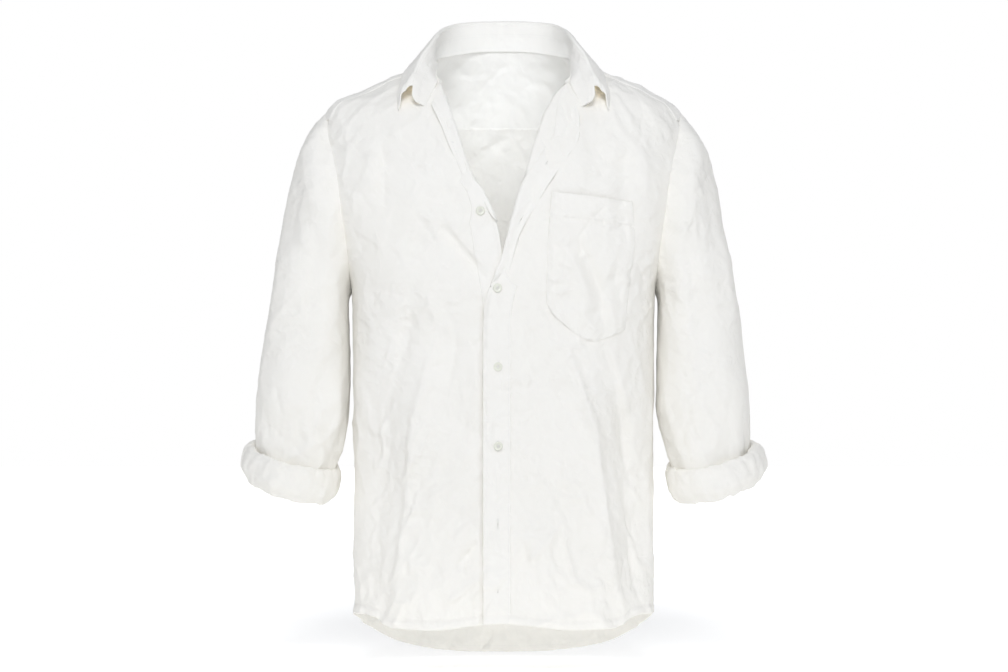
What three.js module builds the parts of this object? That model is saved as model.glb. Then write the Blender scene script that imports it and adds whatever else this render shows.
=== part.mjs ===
// Button-up shirt with a patch pocket and rolled sleeves, filled out as when worn, open at the neck.
// Millimetres. +X is the wearer's left, -Y the front, +Z up. The origin lies between the shoulders,
// level with the shoulder line beside the neck; the side seams and shoulder ridges lie at y = 0.
// Every piece is a cloth wall around a middle surface. Panels are cut from one garment form,
// given as level sections, and what lies on a panel is made from its points, moved out.

import * as THREE from 'three';

// Driving dimensions
const cloth = 1.4; // wall of a single panel
const collarCloth = 2; // two layers and an interlining
const seam = 0.3;
const bandWidth = 34;
const foldRadius = 3.4; // where a front edge is turned back
const layGap = 2.2; // between the middles of two layers that lie on each other
const sideLevel = -698; // foot of the side seam
const underarm = -282;
const shoulderTip = -48;
const backSeam = -62; // yoke seam across the back
const yokeTurn = 83; // degrees from the front centre to the yoke's front seam
const neckTop = 24;
const buttonRadius = 5.7;
const buttonThickness = 2.2;
const rollHeight = 46;

// A short table: named columns, a row for each section or point
function table(columns, rows) {
  const names = columns.split(' ');
  return rows.map((row) => Object.fromEntries(row.map((value, i) => [names[i], value])));
}

// Reads the other columns of a table at a value of its key column, along monotone cubic curves
function sample(rows, key, value) {
  const sign = rows[0][key] < rows[rows.length - 1][key] ? 1 : -1;
  const last = rows.length - 1;
  const at = Math.min(Math.max(value * sign, rows[0][key] * sign), rows[last][key] * sign);
  let i = 0;
  while (i < last - 1 && rows[i + 1][key] * sign < at) i += 1;
  const step = (j) => (rows[j + 1][key] - rows[j][key]) * sign;
  const f = (at - rows[i][key] * sign) / step(i);
  const result = {};
  for (const name of Object.keys(rows[0])) {
    const slope = (j) => (rows[j + 1][name] - rows[j][name]) / step(j);
    const tangent = (j) => {
      if (j === 0) return slope(0);
      if (j === last) return slope(last - 1);
      const [a, b] = [slope(j - 1), slope(j)];
      return a * b <= 0 ? 0 : (2 * a * b) / (a + b);
    };
    const [p, q] = [rows[i][name], rows[i + 1][name]];
    const [m, n] = [tangent(i) * step(i), tangent(i + 1) * step(i)];
    const square = f * f;
    const cube = square * f;
    result[name] =
      p * (2 * cube - 3 * square + 1) + m * (cube - 2 * square + f) +
      q * (3 * square - 2 * cube) + n * (cube - square);
  }
  return result;
}

const lerp = THREE.MathUtils.lerp;
const smooth = THREE.MathUtils.smoothstep;
const radians = THREE.MathUtils.degToRad;
const range = (count) => Array.from({ length: count }, (_, i) => i);
const vector = (x, y, z) => new THREE.Vector3(x, y, z);

// Garment form: half width, depth to the front and back of y = 0, and squareness of the section
const form = table('level half front back square', [
  [46, 47, 38, 63, 2.1],
  [40, 61, 42, 69, 2.1],
  [24, 84, 49, 75, 1.8],
  [0, 136, 59, 84, 1.7],
  [-20, 180, 68, 91, 1.8],
  [-48, 229, 80, 100, 2],
  [-80, 239, 92, 107, 2.2],
  [-120, 237, 102, 112, 2.7],
  [-170, 225, 110, 114, 3.1],
  [-230, 208, 115, 111, 3.1],
  [-282, 196, 117, 107, 2.7],
  [-340, 194.4, 116, 102, 2.5],
  [-450, 194.4, 112, 98, 2.5],
  [-600, 194.4, 110, 101, 2.4],
  [-760, 194.4, 110, 107, 2.4],
]);

const armhole = table('level out', [
  [-48, 229],
  [-60, 228],
  [-80, 225.5],
  [-110, 218],
  [-134, 213],
  [-190, 205.5],
  [-240, 199],
  [-282, 196],
]);

// Largest folds of the filled-out cloth: from a high point to a low one, on the front or back
// (side -1 or 1), as wide as given; a trough has a negative height
const folds = table('side highX highZ lowX lowZ width height', [
  [-1, -78, -196, -18, -276, 13, -5],
  [-1, -64, -222, -12, -300, 12, 3],
  [-1, -62, -300, -112, -470, 20, -5],
  [-1, -110, -460, -142, -690, 20, -6],
  [-1, -114, -280, -150, -440, 17, -4],
  [-1, -104, -170, -110, -262, 17, -4],
  [-1, -140, -95, -146, -230, 16, -4],
  [-1, -36, -575, -84, -690, 17, 5],
  [-1, 78, -320, 124, -500, 20, -5],
  [-1, 122, -490, 150, -690, 20, -6],
  [-1, 124, -350, 158, -520, 16, -4],
  [-1, 112, -80, 124, -150, 15, -4],
  [-1, 158, -100, 150, -220, 16, -4],
  [-1, 26, -560, 66, -690, 17, 5],
  [1, -120, -110, -96, -300, 22, -5],
  [1, 126, -120, 90, -320, 22, -5],
  [1, -40, -360, -70, -560, 26, 5],
  [1, 60, -380, 84, -600, 26, 5],
  [1, -134, -400, -150, -640, 20, -6],
  [1, 136, -420, 148, -650, 20, -6],
  [1, 0, -250, 10, -470, 24, -4],
]);

// Height of the folds at a point, a soft bell across each and faded at its ends
function foldHeight(x, z, side) {
  let height = 0;
  for (const fold of folds) {
    if (fold.side !== side) continue;
    const along = [fold.lowX - fold.highX, fold.lowZ - fold.highZ];
    const length = Math.hypot(...along);
    const t = ((x - fold.highX) * along[0] + (z - fold.highZ) * along[1]) / length ** 2;
    const off = ((x - fold.highX) * along[1] - (z - fold.highZ) * along[0]) / length;
    const fade = smooth(t, -0.12, 0.3) * (1 - smooth(t, 0.7, 1.12));
    height += fold.height * fade * Math.exp(-((off / fold.width) ** 2));
  }
  return height;
}

// Point of the form at a turn in degrees from the front centre (90 is the wearer's left side)
function skin(turn, level, lift = 0) {
  const at = sample(form, 'level', level);
  const [s, c] = [Math.sin(radians(turn)), Math.cos(radians(turn))];
  const depth = c > 0 ? at.front : at.back;
  const reach = (Math.abs(s) / at.half) ** at.square + (Math.abs(c) / depth) ** at.square;
  const r = reach ** (-1 / at.square);
  const raised = foldHeight(r * s, level, c > 0 ? -1 : 1) * smooth(Math.abs(c), 0.1, 0.5);
  const out = r + lift + raised;
  return vector(out * s, -out * c, level);
}

// Turn of a point of the front, or of the back, from its distance to the centre plane
function turnAt(x, level, back = false) {
  const at = sample(form, 'level', level);
  const part = Math.max(0, 1 - Math.min(1, Math.abs(x) / at.half) ** at.square);
  const depth = (back ? at.back : at.front) * part ** (1 / at.square);
  return THREE.MathUtils.radToDeg(Math.atan2(x, back ? -depth : depth));
}

// Outer edge of the body panels as a turn: side seam, then armhole
function edgeTurn(level, back) {
  if (level <= underarm) return 90;
  return turnAt(sample(armhole, 'level', Math.min(level, shoulderTip)).out, level, back);
}

// A closed wall around a grid of middle points; looped grids close across their columns
function wall(grid, thickness, { loop = false, inside = 0.5 } = {}) {
  const [rows, cols] = [grid.length, grid[0].length];
  const pick = (i, j) => {
    const row = grid[Math.min(Math.max(i, 0), rows - 1)];
    return loop ? row[(j + cols) % cols] : row[Math.min(Math.max(j, 0), cols - 1)];
  };
  const points = [];
  for (const side of [1 - inside, -inside]) {
    for (const i of range(rows)) {
      for (const j of range(cols)) {
        const across = pick(i, j + 1).clone().sub(pick(i, j - 1));
        const down = pick(i + 1, j).clone().sub(pick(i - 1, j));
        const normal = across.cross(down).normalize();
        points.push(grid[i][j].clone().addScaledVector(normal, side * thickness));
      }
    }
  }
  const inner = rows * cols;
  const faces = [];
  const quad = (a, b, c, d) => faces.push(a, b, c, a, c, d);
  const wide = loop ? cols : cols - 1;
  for (const i of range(rows - 1)) {
    for (const j of range(wide)) {
      const [a, b] = [i * cols + j, i * cols + ((j + 1) % cols)];
      const [c, d] = [b + cols, a + cols];
      quad(a, b, c, d);
      quad(inner + d, inner + c, inner + b, inner + a);
    }
  }
  for (const j of range(wide)) {
    const [a, b] = [j, (j + 1) % cols];
    const [c, d] = [a + (rows - 1) * cols, b + (rows - 1) * cols];
    quad(a, inner + a, inner + b, b);
    quad(d, inner + d, inner + c, c);
  }
  if (!loop) {
    for (const i of range(rows - 1)) {
      const [a, b] = [i * cols, (i + 1) * cols];
      const [c, d] = [a + cols - 1, b + cols - 1];
      quad(b, inner + b, inner + a, a);
      quad(c, inner + c, inner + d, d);
    }
  }
  const geometry = new THREE.BufferGeometry();
  const positions = points.flatMap((p) => [p.x, p.y, p.z]);
  geometry.setAttribute('position', new THREE.Float32BufferAttribute(positions, 3));
  geometry.setIndex(faces);
  // a mirrored grid comes out inside out, which its signed volume tells
  if (volume(points, faces) < 0) geometry.setIndex(faces.reverse());
  geometry.computeVertexNormals();
  return geometry;
}

function volume(points, faces) {
  let sum = 0;
  for (let i = 0; i < faces.length; i += 3) {
    const [a, b, c] = [points[faces[i]], points[faces[i + 1]], points[faces[i + 2]]];
    sum += a.clone().cross(b).dot(c);
  }
  return sum / 6;
}

// A curve through points, read at a distance from its start
function measured(points) {
  const marks = [0];
  for (const i of range(points.length - 1)) marks.push(marks[i] + points[i].distanceTo(points[i + 1]));
  const length = marks[marks.length - 1];
  return {
    length,
    at(distance) {
      let i = 0;
      while (i < points.length - 2 && marks[i + 1] < distance) i += 1;
      const f = (distance - marks[i]) / (marks[i + 1] - marks[i]);
      return points[i].clone().lerp(points[i + 1], f);
    },
  };
}

// Hems: the front is cut nearly level, the back has a tail
const frontHem = table('x level', [
  [0, -702],
  [26, -704],
  [92, -711],
  [150, -705],
  [182, -699],
  [195, -698],
]);
const hemFade = (level) => 1 - smooth(level, sideLevel, sideLevel + 190);
const frontDrop = (x) => sideLevel - sample(frontHem, 'x', Math.abs(x)).level;
const tailLength = 62;
const backDrop = (x) => {
  const part = Math.max(0, 1 - Math.min(1, Math.abs(x) / 194.4) ** 2.6);
  return tailLength * part ** 0.62;
};

// Inner edge of each front, outward from the centre plane: neckline, then the line where the
// edge is turned back, then the free edge of the closure
const innerEdges = {
  left: table('level x', [
    [neckTop, 84],
    [-3, 83.5],
    [-14, 78],
    [-36, 61],
    [-72, 44.5],
    [-104, 35],
    [-135, 26],
    [-166, 16],
    [-203, 6.4],
    [-236, -2.5],
    [-256, -10.5],
    [-281, -18.3],
    [-310, -24.2],
    [-344, -25.2],
    [-712, -25.2],
  ]),
  right: table('level x', [
    [neckTop, 84],
    [-3, 83.5],
    [-14, 79],
    [-28, 74],
    [-64, 61.7],
    [-94, 52],
    [-116, 45],
    [-135, 37.4],
    [-159, 21],
    [-189, 10.7],
    [-218, 4.4],
    [-236, 2],
    [-281, -6],
    [-310, -9.5],
    [-712, -9.5],
  ]),
};

// Turned-back edges: each row joins a level of the turning line to the free edge on the chest
const flaps = {
  left: table('level edgeX edgeZ lift', [
    [-14, 92.5, -45, 4],
    [-36, 97, -60, 4],
    [-72, 98, -84, 3.5],
    [-104, 82, -113, 3],
    [-135, 63, -141, 2.6],
    [-166, 44, -172, 2.6],
    [-203, 25, -205, 2.6],
    [-220, 18, -222, 2.8],
    [-236, 14, -238, 3.2],
    [-256, 8.5, -258, 3.4],
    [-267, -4, -267, 3],
    [-277, -17, -277, 2.4],
  ]),
  right: table('level edgeX edgeZ lift', [
    [-14, 91.5, -46, 5],
    [-28, 87, -57, 5],
    [-64, 79.5, -74, 5],
    [-94, 71, -96, 5.5],
    [-116, 62.5, -115, 4],
    [-136, 54, -137, 3],
    [-143, 42, -143, 3],
    [-160, 29, -161, 2.8],
    [-180, 19.5, -181, 2.6],
    [-195, 9.5, -195, 2.2],
  ]),
};

// One front's cloth: distance d along it, outward from the inner edge at a level; d below 0 is
// the turned-back part. The left front laps over the right one at the closure.
function frontCloth(hand) {
  const sign = hand === 'left' ? 1 : -1;
  const edge = innerEdges[hand];
  const flap = flaps[hand];
  const onFront = (x, level, lift) => skin(sign * turnAt(x, level), level, lift);
  const lap = (d, level) => {
    const open = smooth(level, -215, -130);
    return sign * (layGap / 2) * (1 - smooth(d, bandWidth, 2.2 * bandWidth)) * (1 - open);
  };
  const cache = new Map();
  const row = (level) => {
    if (!cache.has(level)) cache.set(level, makeRow(level));
    return cache.get(level);
  };
  function makeRow(level) {
    const start = turnAt(sample(edge, 'level', level).x, level);
    const end = level > -120 ? Math.min(edgeTurn(level), yokeTurn) : edgeTurn(level);
    const base = measured(range(61).map((i) => {
      const turn = sign * lerp(start, end, i / 60);
      const flat = skin(turn, level);
      return skin(turn, level - frontDrop(flat.x) * hemFade(level));
    }));
    const top = flap[0].level;
    const foot = flap[flap.length - 1].level;
    if (level > top || level <= foot) return { base, width: 0, radius: 0 };
    const at = sample(flap, 'level', level);
    const startX = sample(edge, 'level', level).x;
    const over = measured(range(13).map((i) => {
      const [x, z] = [lerp(startX, at.edgeX, i / 12), lerp(level, at.edgeZ, i / 12)];
      return onFront(x, z, 0);
    }));
    const width = over.length;
    return { base, over, width, lift: at.lift, radius: Math.min(foldRadius, width / 4) };
  }
  const outward = (p, amount, level) => {
    const at = sample(form, 'level', level);
    const flat = vector(Math.sign(p.x) * (Math.abs(p.x) / at.half) ** (at.square - 1) / at.half,
      -((Math.abs(p.y) / at.front) ** (at.square - 1)) / at.front, 0).normalize();
    const rise = 0.25 * smooth(level, -120, -10);
    return p.addScaledVector(flat.setZ(rise).normalize(), amount);
  };
  return {
    row,
    point(d, level) {
      const { base, over, width, lift, radius } = row(level);
      const half = (Math.PI / 2) * radius;
      if (d >= half) return outward(base.at(d - half + radius), lap(d, level), level);
      if (width === 0) return outward(base.at(d), lap(d, level), level);
      const phi = Math.max(d / radius, -Math.PI / 2);
      if (d > -half) {
        const across = radius * (1 - Math.cos(phi));
        const height = radius * (1 - Math.sin(phi));
        const curve = d > 0 ? base : over;
        return outward(curve.at(across), height + lap(d, level), level);
      }
      const beyond = -d - half;
      const settle = smooth(beyond / (width - half), 0, 0.7);
      return outward(over.at(beyond + radius), lerp(2 * radius, lift, settle) + lap(d, level), level);
    },
  };
}

const fronts = { left: frontCloth('left'), right: frontCloth('right') };
const frontLevels = [19, 4, -14, -28, -43, -58, -72, -88, -104, -120, -136, -143, -160, -178,
  -195, -215, -236, -256, -267, -277, -288, -312, -345, -385, -425, -465, -505, -545, -585, -625,
  -662, sideLevel];

// Columns of a strip, crowded where it is turned back
function stripColumns(start, end, radius, count) {
  const half = (Math.PI / 2) * radius;
  const columns = [start, -half, -half / 3, half / 3, half];
  const apart = Math.min(2.4, (end - start) / 8);
  for (const i of range(columns.length - 1)) columns[i + 1] = Math.max(columns[i + 1], columns[i] + apart);
  for (let i = columns.length - 1, room = end - apart; i > 0; i -= 1, room -= apart) {
    columns[i] = Math.min(columns[i], room);
  }
  const last = columns[columns.length - 1];
  for (const i of range(count)) columns.push(lerp(last, end, (i + 1) / count));
  return columns;
}

function panelFront(hand) {
  const front = fronts[hand];
  const grid = frontLevels.map((level) => {
    const { base, width, radius } = front.row(level);
    const joint = bandWidth - width;
    const apart = seam * lerp(5.5, 1.6, smooth(joint, 6, 13));
    const open = level > flaps[hand][0].level;
    const start = open ? 2 * seam : Math.max(joint + apart, hand === 'left' ? -40 : 2 * seam);
    const margin = level > backSeam ? 0.8 : seam / 2;
    const end = base.length + (Math.PI / 2 - 1) * radius - margin;
    return stripColumns(start, end, radius, 10).map((d) => front.point(d, level));
  });
  return wall(grid, cloth);
}

function stripFront(hand) {
  const front = fronts[hand];
  const levels = frontLevels.filter((level) => level <= flaps[hand][0].level);
  const grid = levels.map((level) => {
    const { width, radius } = front.row(level);
    return stripColumns(-width, bandWidth - width, radius, 1).map((d) => front.point(d, level));
  });
  return wall(grid, cloth);
}

function panelBack() {
  const levels = [backSeam - 0.8, -78, -96, -118, -144, -172, -204, -236, -262, underarm, -315,
    -360, -410, -460, -510, -560, -605, -650, sideLevel];
  const grid = levels.map((level) => {
    const end = 180 - edgeTurn(level, true) - (level <= underarm ? 0.1 : 0);
    return range(25).map((i) => {
      const turn = 180 + lerp(-end, end, i / 24);
      const flat = skin(turn, level);
      return skin(turn, level - backDrop(flat.x) * hemFade(level));
    });
  });
  return wall(grid, cloth);
}

// Neckline and collar: a station where the neck seam meets the form at a turn and level, with the
// stand's top edge and the leaf's outer edge there; from the centre back to one front end
const collar = table('turn level lift topX topY topZ hemX hemY hemZ', [
  [180, 40, 0, 0, 64, 73, 0, 80, 33],
  [155, 38.6, 0, 33, 60, 72, 36, 76, 32],
  [131, 34.3, 0, 60.5, 47, 68.5, 70, 60, 29],
  [108, 29, 0, 75, 22, 60.5, 99, 34, 20],
  [90, 24, 1, 82.5, -8, 51.5, 115, 8, 13],
  [71.6, 13, 2.6, 90.5, -34, 37, 126, -19, 5],
  [62, -3, 5, 102, -50, 20, 132.5, -42, -14.5],
  [56.2, -14, 8.4, 109.5, -61, 3, 136, -55, -31],
  [54.6, -32, 7, 114.5, -73, -13, 134, -69, -46],
  [54, -45, 5.5, 116, -78, -30, 132, -74, -58],
]);
const neckLevel = (turn) => {
  const rows = collar.map(({ turn: key, level }) => ({ key, level }));
  return sample(rows, 'key', turn > 180 ? 360 - turn : turn).level;
};

function panelYoke() {
  const turns = [yokeTurn, 85, 87.5, 90, 93, 96.5, 102, 109, 117, 126, 136, 147, 158, 169, 180];
  const half = turns.map((turn) => {
    const armLevels = { 83: -59, 85: -53, 87.5: -49, 90: -48.2, 93: -50, 96.5: -58 };
    const foot = armLevels[turn] ?? backSeam;
    const top = neckLevel(turn) - 0.6;
    return range(7).map((i) => skin(turn, lerp(foot, top, i / 6)));
  });
  const mirror = half.slice(0, -1).reverse();
  const other = mirror.map((row) => row.map((p) => vector(-p.x, p.y, p.z)));
  return wall([...half, ...other], cloth);
}

// Collar stations run from the wearer's left front end round the back to the right one
function collarStation(t) {
  const at = sample(collar.map((row, i) => ({ index: i, ...row })), 'index', Math.abs(t));
  const hand = Math.sign(t) || 1;
  const base = skin(at.turn, at.level, at.lift);
  const side = (x, y, z) => vector(hand * x, y, z);
  return {
    base: side(base.x, base.y, base.z),
    top: side(at.topX, at.topY, at.topZ),
    hem: side(at.hemX, at.hemY, at.hemZ),
  };
}

function collarStand() {
  const ends = collar.length - 1;
  const grid = range(41).map((i) => {
    const t = lerp(-ends, ends, Math.sin((i / 20 - 1) * 1.2) / Math.sin(1.2) / 2 + 0.5);
    const { base, top } = collarStation(t);
    const round = Math.max(0, (Math.abs(t) - ends + 0.7) / 0.78);
    const height = lerp(0.2, 1, Math.sqrt(1 - round * round));
    return range(4).map((j) => base.clone().lerp(top, lerp(0.035, height, j / 3)));
  });
  return wall(grid, collarCloth);
}

function collarLeaf() {
  const ends = collar.length - 2;
  const grid = range(33).map((i) => {
    const { base, top, hem } = collarStation(lerp(-ends, ends, i / 32));
    const rise = top.clone().sub(base).normalize();
    const fall = hem.clone().sub(top);
    const out = fall.clone().addScaledVector(rise, -fall.dot(rise)).normalize();
    const start = top.clone().addScaledVector(rise, 1.2);
    const crest = start.clone().addScaledVector(rise, 1.6).addScaledVector(out, 1.6);
    const turned = start.clone().addScaledVector(out, 4.4).addScaledVector(rise, 0.2);
    const belly = turned.clone().lerp(hem, 0.5).addScaledVector(out, 1.2);
    return [start, crest, turned, belly, hem];
  });
  return wall(grid, collarCloth);
}

// Sleeve sections: outermost and innermost point seen from the front, and depth front to back
const sleeve = table('outX outZ inX inZ depth', [
  [257, -86, 201, -292, 152],
  [274, -138, 201.5, -306, 148],
  [288, -212, 201, -330, 143],
  [300, -284, 200, -362, 136],
  [311, -352, 199.5, -400, 130],
  [318.5, -416, 200.5, -440, 124],
  [318.6, -462, 208.2, -477, 109.6],
  [315, -504, 223, -519, 98],
]);

function sleeveGrid(hand) {
  const columns = 24;
  const mid = (shoulderTip + underarm) / 2;
  const half = (shoulderTip - underarm) / 2;
  const first = range(columns).map((j) => {
    const turn = (j / columns) * 2 * Math.PI;
    const level = mid + half * Math.cos(turn);
    const back = Math.sin(turn) < 0;
    const x = sample(armhole, 'level', level).out;
    const p = skin(turnAt(x, level, back), level);
    return vector(hand * (p.x + 1.3 + 0.5 * (1 - Math.cos(turn))), p.y, p.z);
  });
  const rings = sleeve.map((at) => range(columns).map((j) => {
    const turn = (j / columns) * 2 * Math.PI;
    const across = Math.cos(turn) / 2;
    const x = (at.outX + at.inX) / 2 + across * (at.outX - at.inX);
    const z = (at.outZ + at.inZ) / 2 + across * (at.outZ - at.inZ);
    return vector(hand * x, (-at.depth / 2) * Math.sin(turn), z);
  }));
  const stations = [first, ...rings];
  const curves = range(columns).map((j) => new THREE.CatmullRomCurve3(stations.map((ring) => ring[j])));
  const steps = 16;
  return range(steps + 1).map((i) => range(columns).map((j) => {
    const t = i / steps;
    const p = curves[j].getPoint(t);
    const axis = vector(hand * lerp(213, 267, t), 0, lerp(-165, -500, t));
    const gather = smooth(t, 0.72, 0.95) * 2.6 * Math.cos(7 * (j / columns) * 2 * Math.PI - 1);
    const radial = p.clone().sub(axis).setZ(0).normalize();
    return p.addScaledVector(radial, gather);
  }));
}

// The rolled-up lower sleeve: a thick ring round the gathered sleeve, lower towards the body
function cuffRoll(hand) {
  const centre = vector(hand * 276.3, 0, -516);
  const slant = radians(15.5);
  const nod = 10; // its front hangs lower than its sides
  const outer = [66.5, 66];
  const layers = table('turn thick', [
    [0, 17],
    [60, 10],
    [90, 8.5],
    [135, 6.5],
    [180, 5.5],
  ]);
  const profile = table('out up', [
    [0, -0.5],
    [0.55, -0.5],
    [0.9, -0.36],
    [1, -0.05],
    [0.92, 0.3],
    [0.6, 0.5],
    [0, 0.5],
    [-0.12, 0],
  ]);
  const columns = 28;
  const grid = profile.map(({ out, up }) => range(columns).map((j) => {
    const turn = (j / columns) * 360;
    const thick = sample(layers, 'turn', turn > 180 ? 360 - turn : turn).thick;
    const inward = (1 - out) * thick;
    const [c, s] = [Math.cos(radians(turn)), Math.sin(radians(turn))];
    const along = (outer[0] - inward) * c;
    const rise = up * rollHeight;
    return vector(
      centre.x + hand * (along * Math.cos(slant) - rise * Math.sin(slant) * 0.6),
      -(outer[1] - inward) * s,
      centre.z + along * Math.sin(slant) + rise - nod * s,
    );
  }));
  return ring(grid, hand);
}

// A solid ring from closed profile rows that run round it
function ring(grid, hand) {
  const [rows, cols] = [grid.length, grid[0].length];
  const faces = [];
  for (const i of range(rows)) {
    for (const j of range(cols)) {
      const [a, b] = [i * cols + j, i * cols + ((j + 1) % cols)];
      const [c, d] = [((i + 1) % rows) * cols + ((j + 1) % cols), ((i + 1) % rows) * cols + j];
      if (hand > 0) faces.push(a, b, c, a, c, d);
      else faces.push(a, c, b, a, d, c);
    }
  }
  const points = grid.flat();
  if (volume(points, faces) < 0) faces.reverse();
  const geometry = new THREE.BufferGeometry();
  const positions = points.flatMap((p) => [p.x, p.y, p.z]);
  geometry.setAttribute('position', new THREE.Float32BufferAttribute(positions, 3));
  geometry.setIndex(faces);
  geometry.computeVertexNormals();
  return geometry;
}

// Patch pocket on the left chest, laid on the front's points and pushed out a little by its fill
const pocket = table('down leftX leftZ rightX rightZ', [
  [0, 61, -157, 165, -169],
  [0.3, 57, -206, 167, -214],
  [0.6, 55, -254, 161, -258],
  [0.85, 54, -292, 156, -300],
  [1, 60, -308, 154, -322],
]);

function patchPocket() {
  const rows = 9;
  const cols = 10;
  const grid = range(rows).map((i) => {
    const down = i / (rows - 1);
    const at = sample(pocket, 'down', down);
    return range(cols).map((j) => {
      const across = j / (cols - 1);
      const point = 30 * (1 - Math.abs(2 * across - 1.1) ** 1.4 / 1.2) * smooth(down, 0.5, 1);
      const x = lerp(at.leftX, at.rightX, across);
      const z = lerp(at.leftZ, at.rightZ, across) - point;
      const fill = Math.sin(Math.PI * across) * Math.sin(Math.PI * Math.min(1, 0.25 + 0.75 * down));
      return skin(turnAt(x, z), z, layGap + 0.5 + 3 * fill);
    });
  });
  return wall(grid, cloth);
}

// Shirt button: a turned disc with a raised rim
function button() {
  const outline = [
    [0, -1.1],
    [0.7, -1.1],
    [1, -0.45],
    [1, 0.45],
    [0.86, 1.1],
    [0.68, 0.75],
    [0, 0.65],
  ];
  const half = buttonThickness / 2;
  const points = outline.map(([r, z]) => new THREE.Vector2(r * buttonRadius, (z * half) / 1.1));
  return new THREE.LatheGeometry(points, 14);
}

const paint = (color, roughness) => new THREE.MeshStandardMaterial({ color, roughness, metalness: 0 });
const fabric = paint(0xf3f1ec, 0.92);
const plastic = paint(0xe6e6dc, 0.35);

const shirt = new THREE.Group();
function add(name, geometry, material = fabric) {
  const mesh = new THREE.Mesh(geometry, material);
  mesh.name = name;
  shirt.add(mesh);
  return mesh;
}

add('back', panelBack());
add('yoke', panelYoke());
add('front_right', panelFront('right'));
add('front_left', panelFront('left'));
add('button_band', stripFront('right'));
add('buttonhole_placket', stripFront('left'));
add('collar_stand', collarStand());
add('collar_leaf', collarLeaf());
add('pocket', patchPocket());
for (const [name, hand] of [['right', -1], ['left', 1]]) {
  add(`sleeve_${name}`, wall(sleeveGrid(hand), cloth, { loop: true }));
  add(`cuff_roll_${name}`, cuffRoll(hand));
}

// Buttons: on which layer each sits, its place along the front's cloth, and whether it lies behind
const buttons = table('number across level out', [
  [1, -12.5, -92, -1.1],
  [2, 18, -180, 1],
  [3, 11, -280, 1.15],
  [4, 18.2, -378.5, 1],
  [5, 18.2, -477, 1],
]);
for (const { number, across, level, out } of buttons) {
  const hand = number <= 2 ? 'right' : 'left';
  const front = fronts[hand];
  const centre = front.point(across, level);
  const along = front.point(across + 4, level).sub(centre);
  const down = front.point(across, level - 4).sub(centre);
  const normal = along.cross(down).normalize();
  if (normal.y > 0) normal.negate();
  const away = out * (cloth / 2 + buttonThickness / 2 + seam);
  const mesh = add(`button_${number}`, button(), plastic);
  mesh.position.copy(centre.addScaledVector(normal, away));
  mesh.quaternion.setFromUnitVectors(vector(0, 1, 0), normal);
}

export default shirt;
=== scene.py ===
"""Looks of a crumpled button-up shirt, filled out as when worn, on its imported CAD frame.

Lengths are worked out in millimetres and handed to Blender in metres. +X is the wearer's left,
-Y the front, +Z up. Every cloth piece is a thin closed shell round a grid of middle points.
"""

import math

import bpy
import numpy as np
from mathutils import Matrix, Vector


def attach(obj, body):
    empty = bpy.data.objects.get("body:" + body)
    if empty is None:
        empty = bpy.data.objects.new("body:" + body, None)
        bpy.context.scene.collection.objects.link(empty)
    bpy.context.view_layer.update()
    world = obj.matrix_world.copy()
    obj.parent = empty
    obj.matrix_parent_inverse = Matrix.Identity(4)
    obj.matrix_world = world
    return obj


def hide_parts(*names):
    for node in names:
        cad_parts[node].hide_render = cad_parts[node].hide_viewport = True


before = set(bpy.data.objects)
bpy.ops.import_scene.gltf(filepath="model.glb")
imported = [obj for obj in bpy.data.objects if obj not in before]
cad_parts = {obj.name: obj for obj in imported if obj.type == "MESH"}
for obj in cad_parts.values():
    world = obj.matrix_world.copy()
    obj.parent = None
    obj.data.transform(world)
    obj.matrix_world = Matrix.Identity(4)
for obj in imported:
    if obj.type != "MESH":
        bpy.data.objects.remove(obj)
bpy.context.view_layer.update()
scene = bpy.context.scene

# ---------------- camera

VIEW_PLACE = (0.00065, -4.0, -0.339)
SENSOR, FOCAL_LENGTH = 36, 109.89

camera_data = bpy.data.cameras.new("camera")
camera = bpy.data.objects.new("camera", camera_data)
scene.collection.objects.link(camera)
scene.camera = camera
camera.location = VIEW_PLACE
camera.rotation_euler = (math.radians(90), 0, 0)
camera_data.sensor_width, camera_data.lens = SENSOR, FOCAL_LENGTH

# ---------------- small tools


def smooth(x, low, high):
    t = np.clip((np.asarray(x, float) - low) / (high - low), 0, 1)
    return t * t * (3 - 2 * t)


def lerp(a, b, t):
    return a + (b - a) * t


def bell(x, width):
    return np.exp(-((x / width) ** 2))


def unit(v):
    return v / np.maximum(np.linalg.norm(v, axis=-1, keepdims=True), 1e-9)


def running(steps):
    """Distances from the start, before each step and after the last."""
    return np.concatenate([[0], np.cumsum(steps)])


def hermite(start, start_slope, end, end_slope, f):
    """Cubic curve from start to end, at shares f of the way."""
    return (
        start * (2 * f**3 - 3 * f**2 + 1)
        + start_slope * (f**3 - 2 * f**2 + f)
        + end * (3 * f**2 - 2 * f**3)
        + end_slope * (f**3 - f**2)
    )


class Table:
    """Named columns, a row for each section or point; read along monotone cubic curves."""

    def __init__(self, columns, rows):
        data = np.array(rows, float)
        if data[0, 0] > data[-1, 0]:
            data = data[::-1]
        self.keys = data[:, 0]
        self.columns = dict(zip(columns.split(), data.T))

    def __call__(self, name, at):
        keys, values = self.keys, self.columns[name]
        at = np.clip(np.asarray(at, float), keys[0], keys[-1])
        i = np.clip(np.searchsorted(keys, at) - 1, 0, len(keys) - 2)
        step = np.diff(keys)
        slope = np.diff(values) / step
        a, b = slope[:-1], slope[1:]
        total = np.where(a + b == 0, 1, a + b)
        inner = np.where(a * b <= 0, 0, 2 * a * b / total)
        tangent = np.concatenate([slope[:1], inner, slope[-1:]])
        start_slope, end_slope = tangent[i] * step[i], tangent[i + 1] * step[i]
        return hermite(values[i], start_slope, values[i + 1], end_slope, (at - keys[i]) / step[i])


CELLS = 32
random = np.random.default_rng(11)
lattice = random.uniform(-1, 1, (CELLS, CELLS, CELLS))
seeds = random.uniform(0.08, 0.92, (3, CELLS, CELLS, CELLS))


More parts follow.
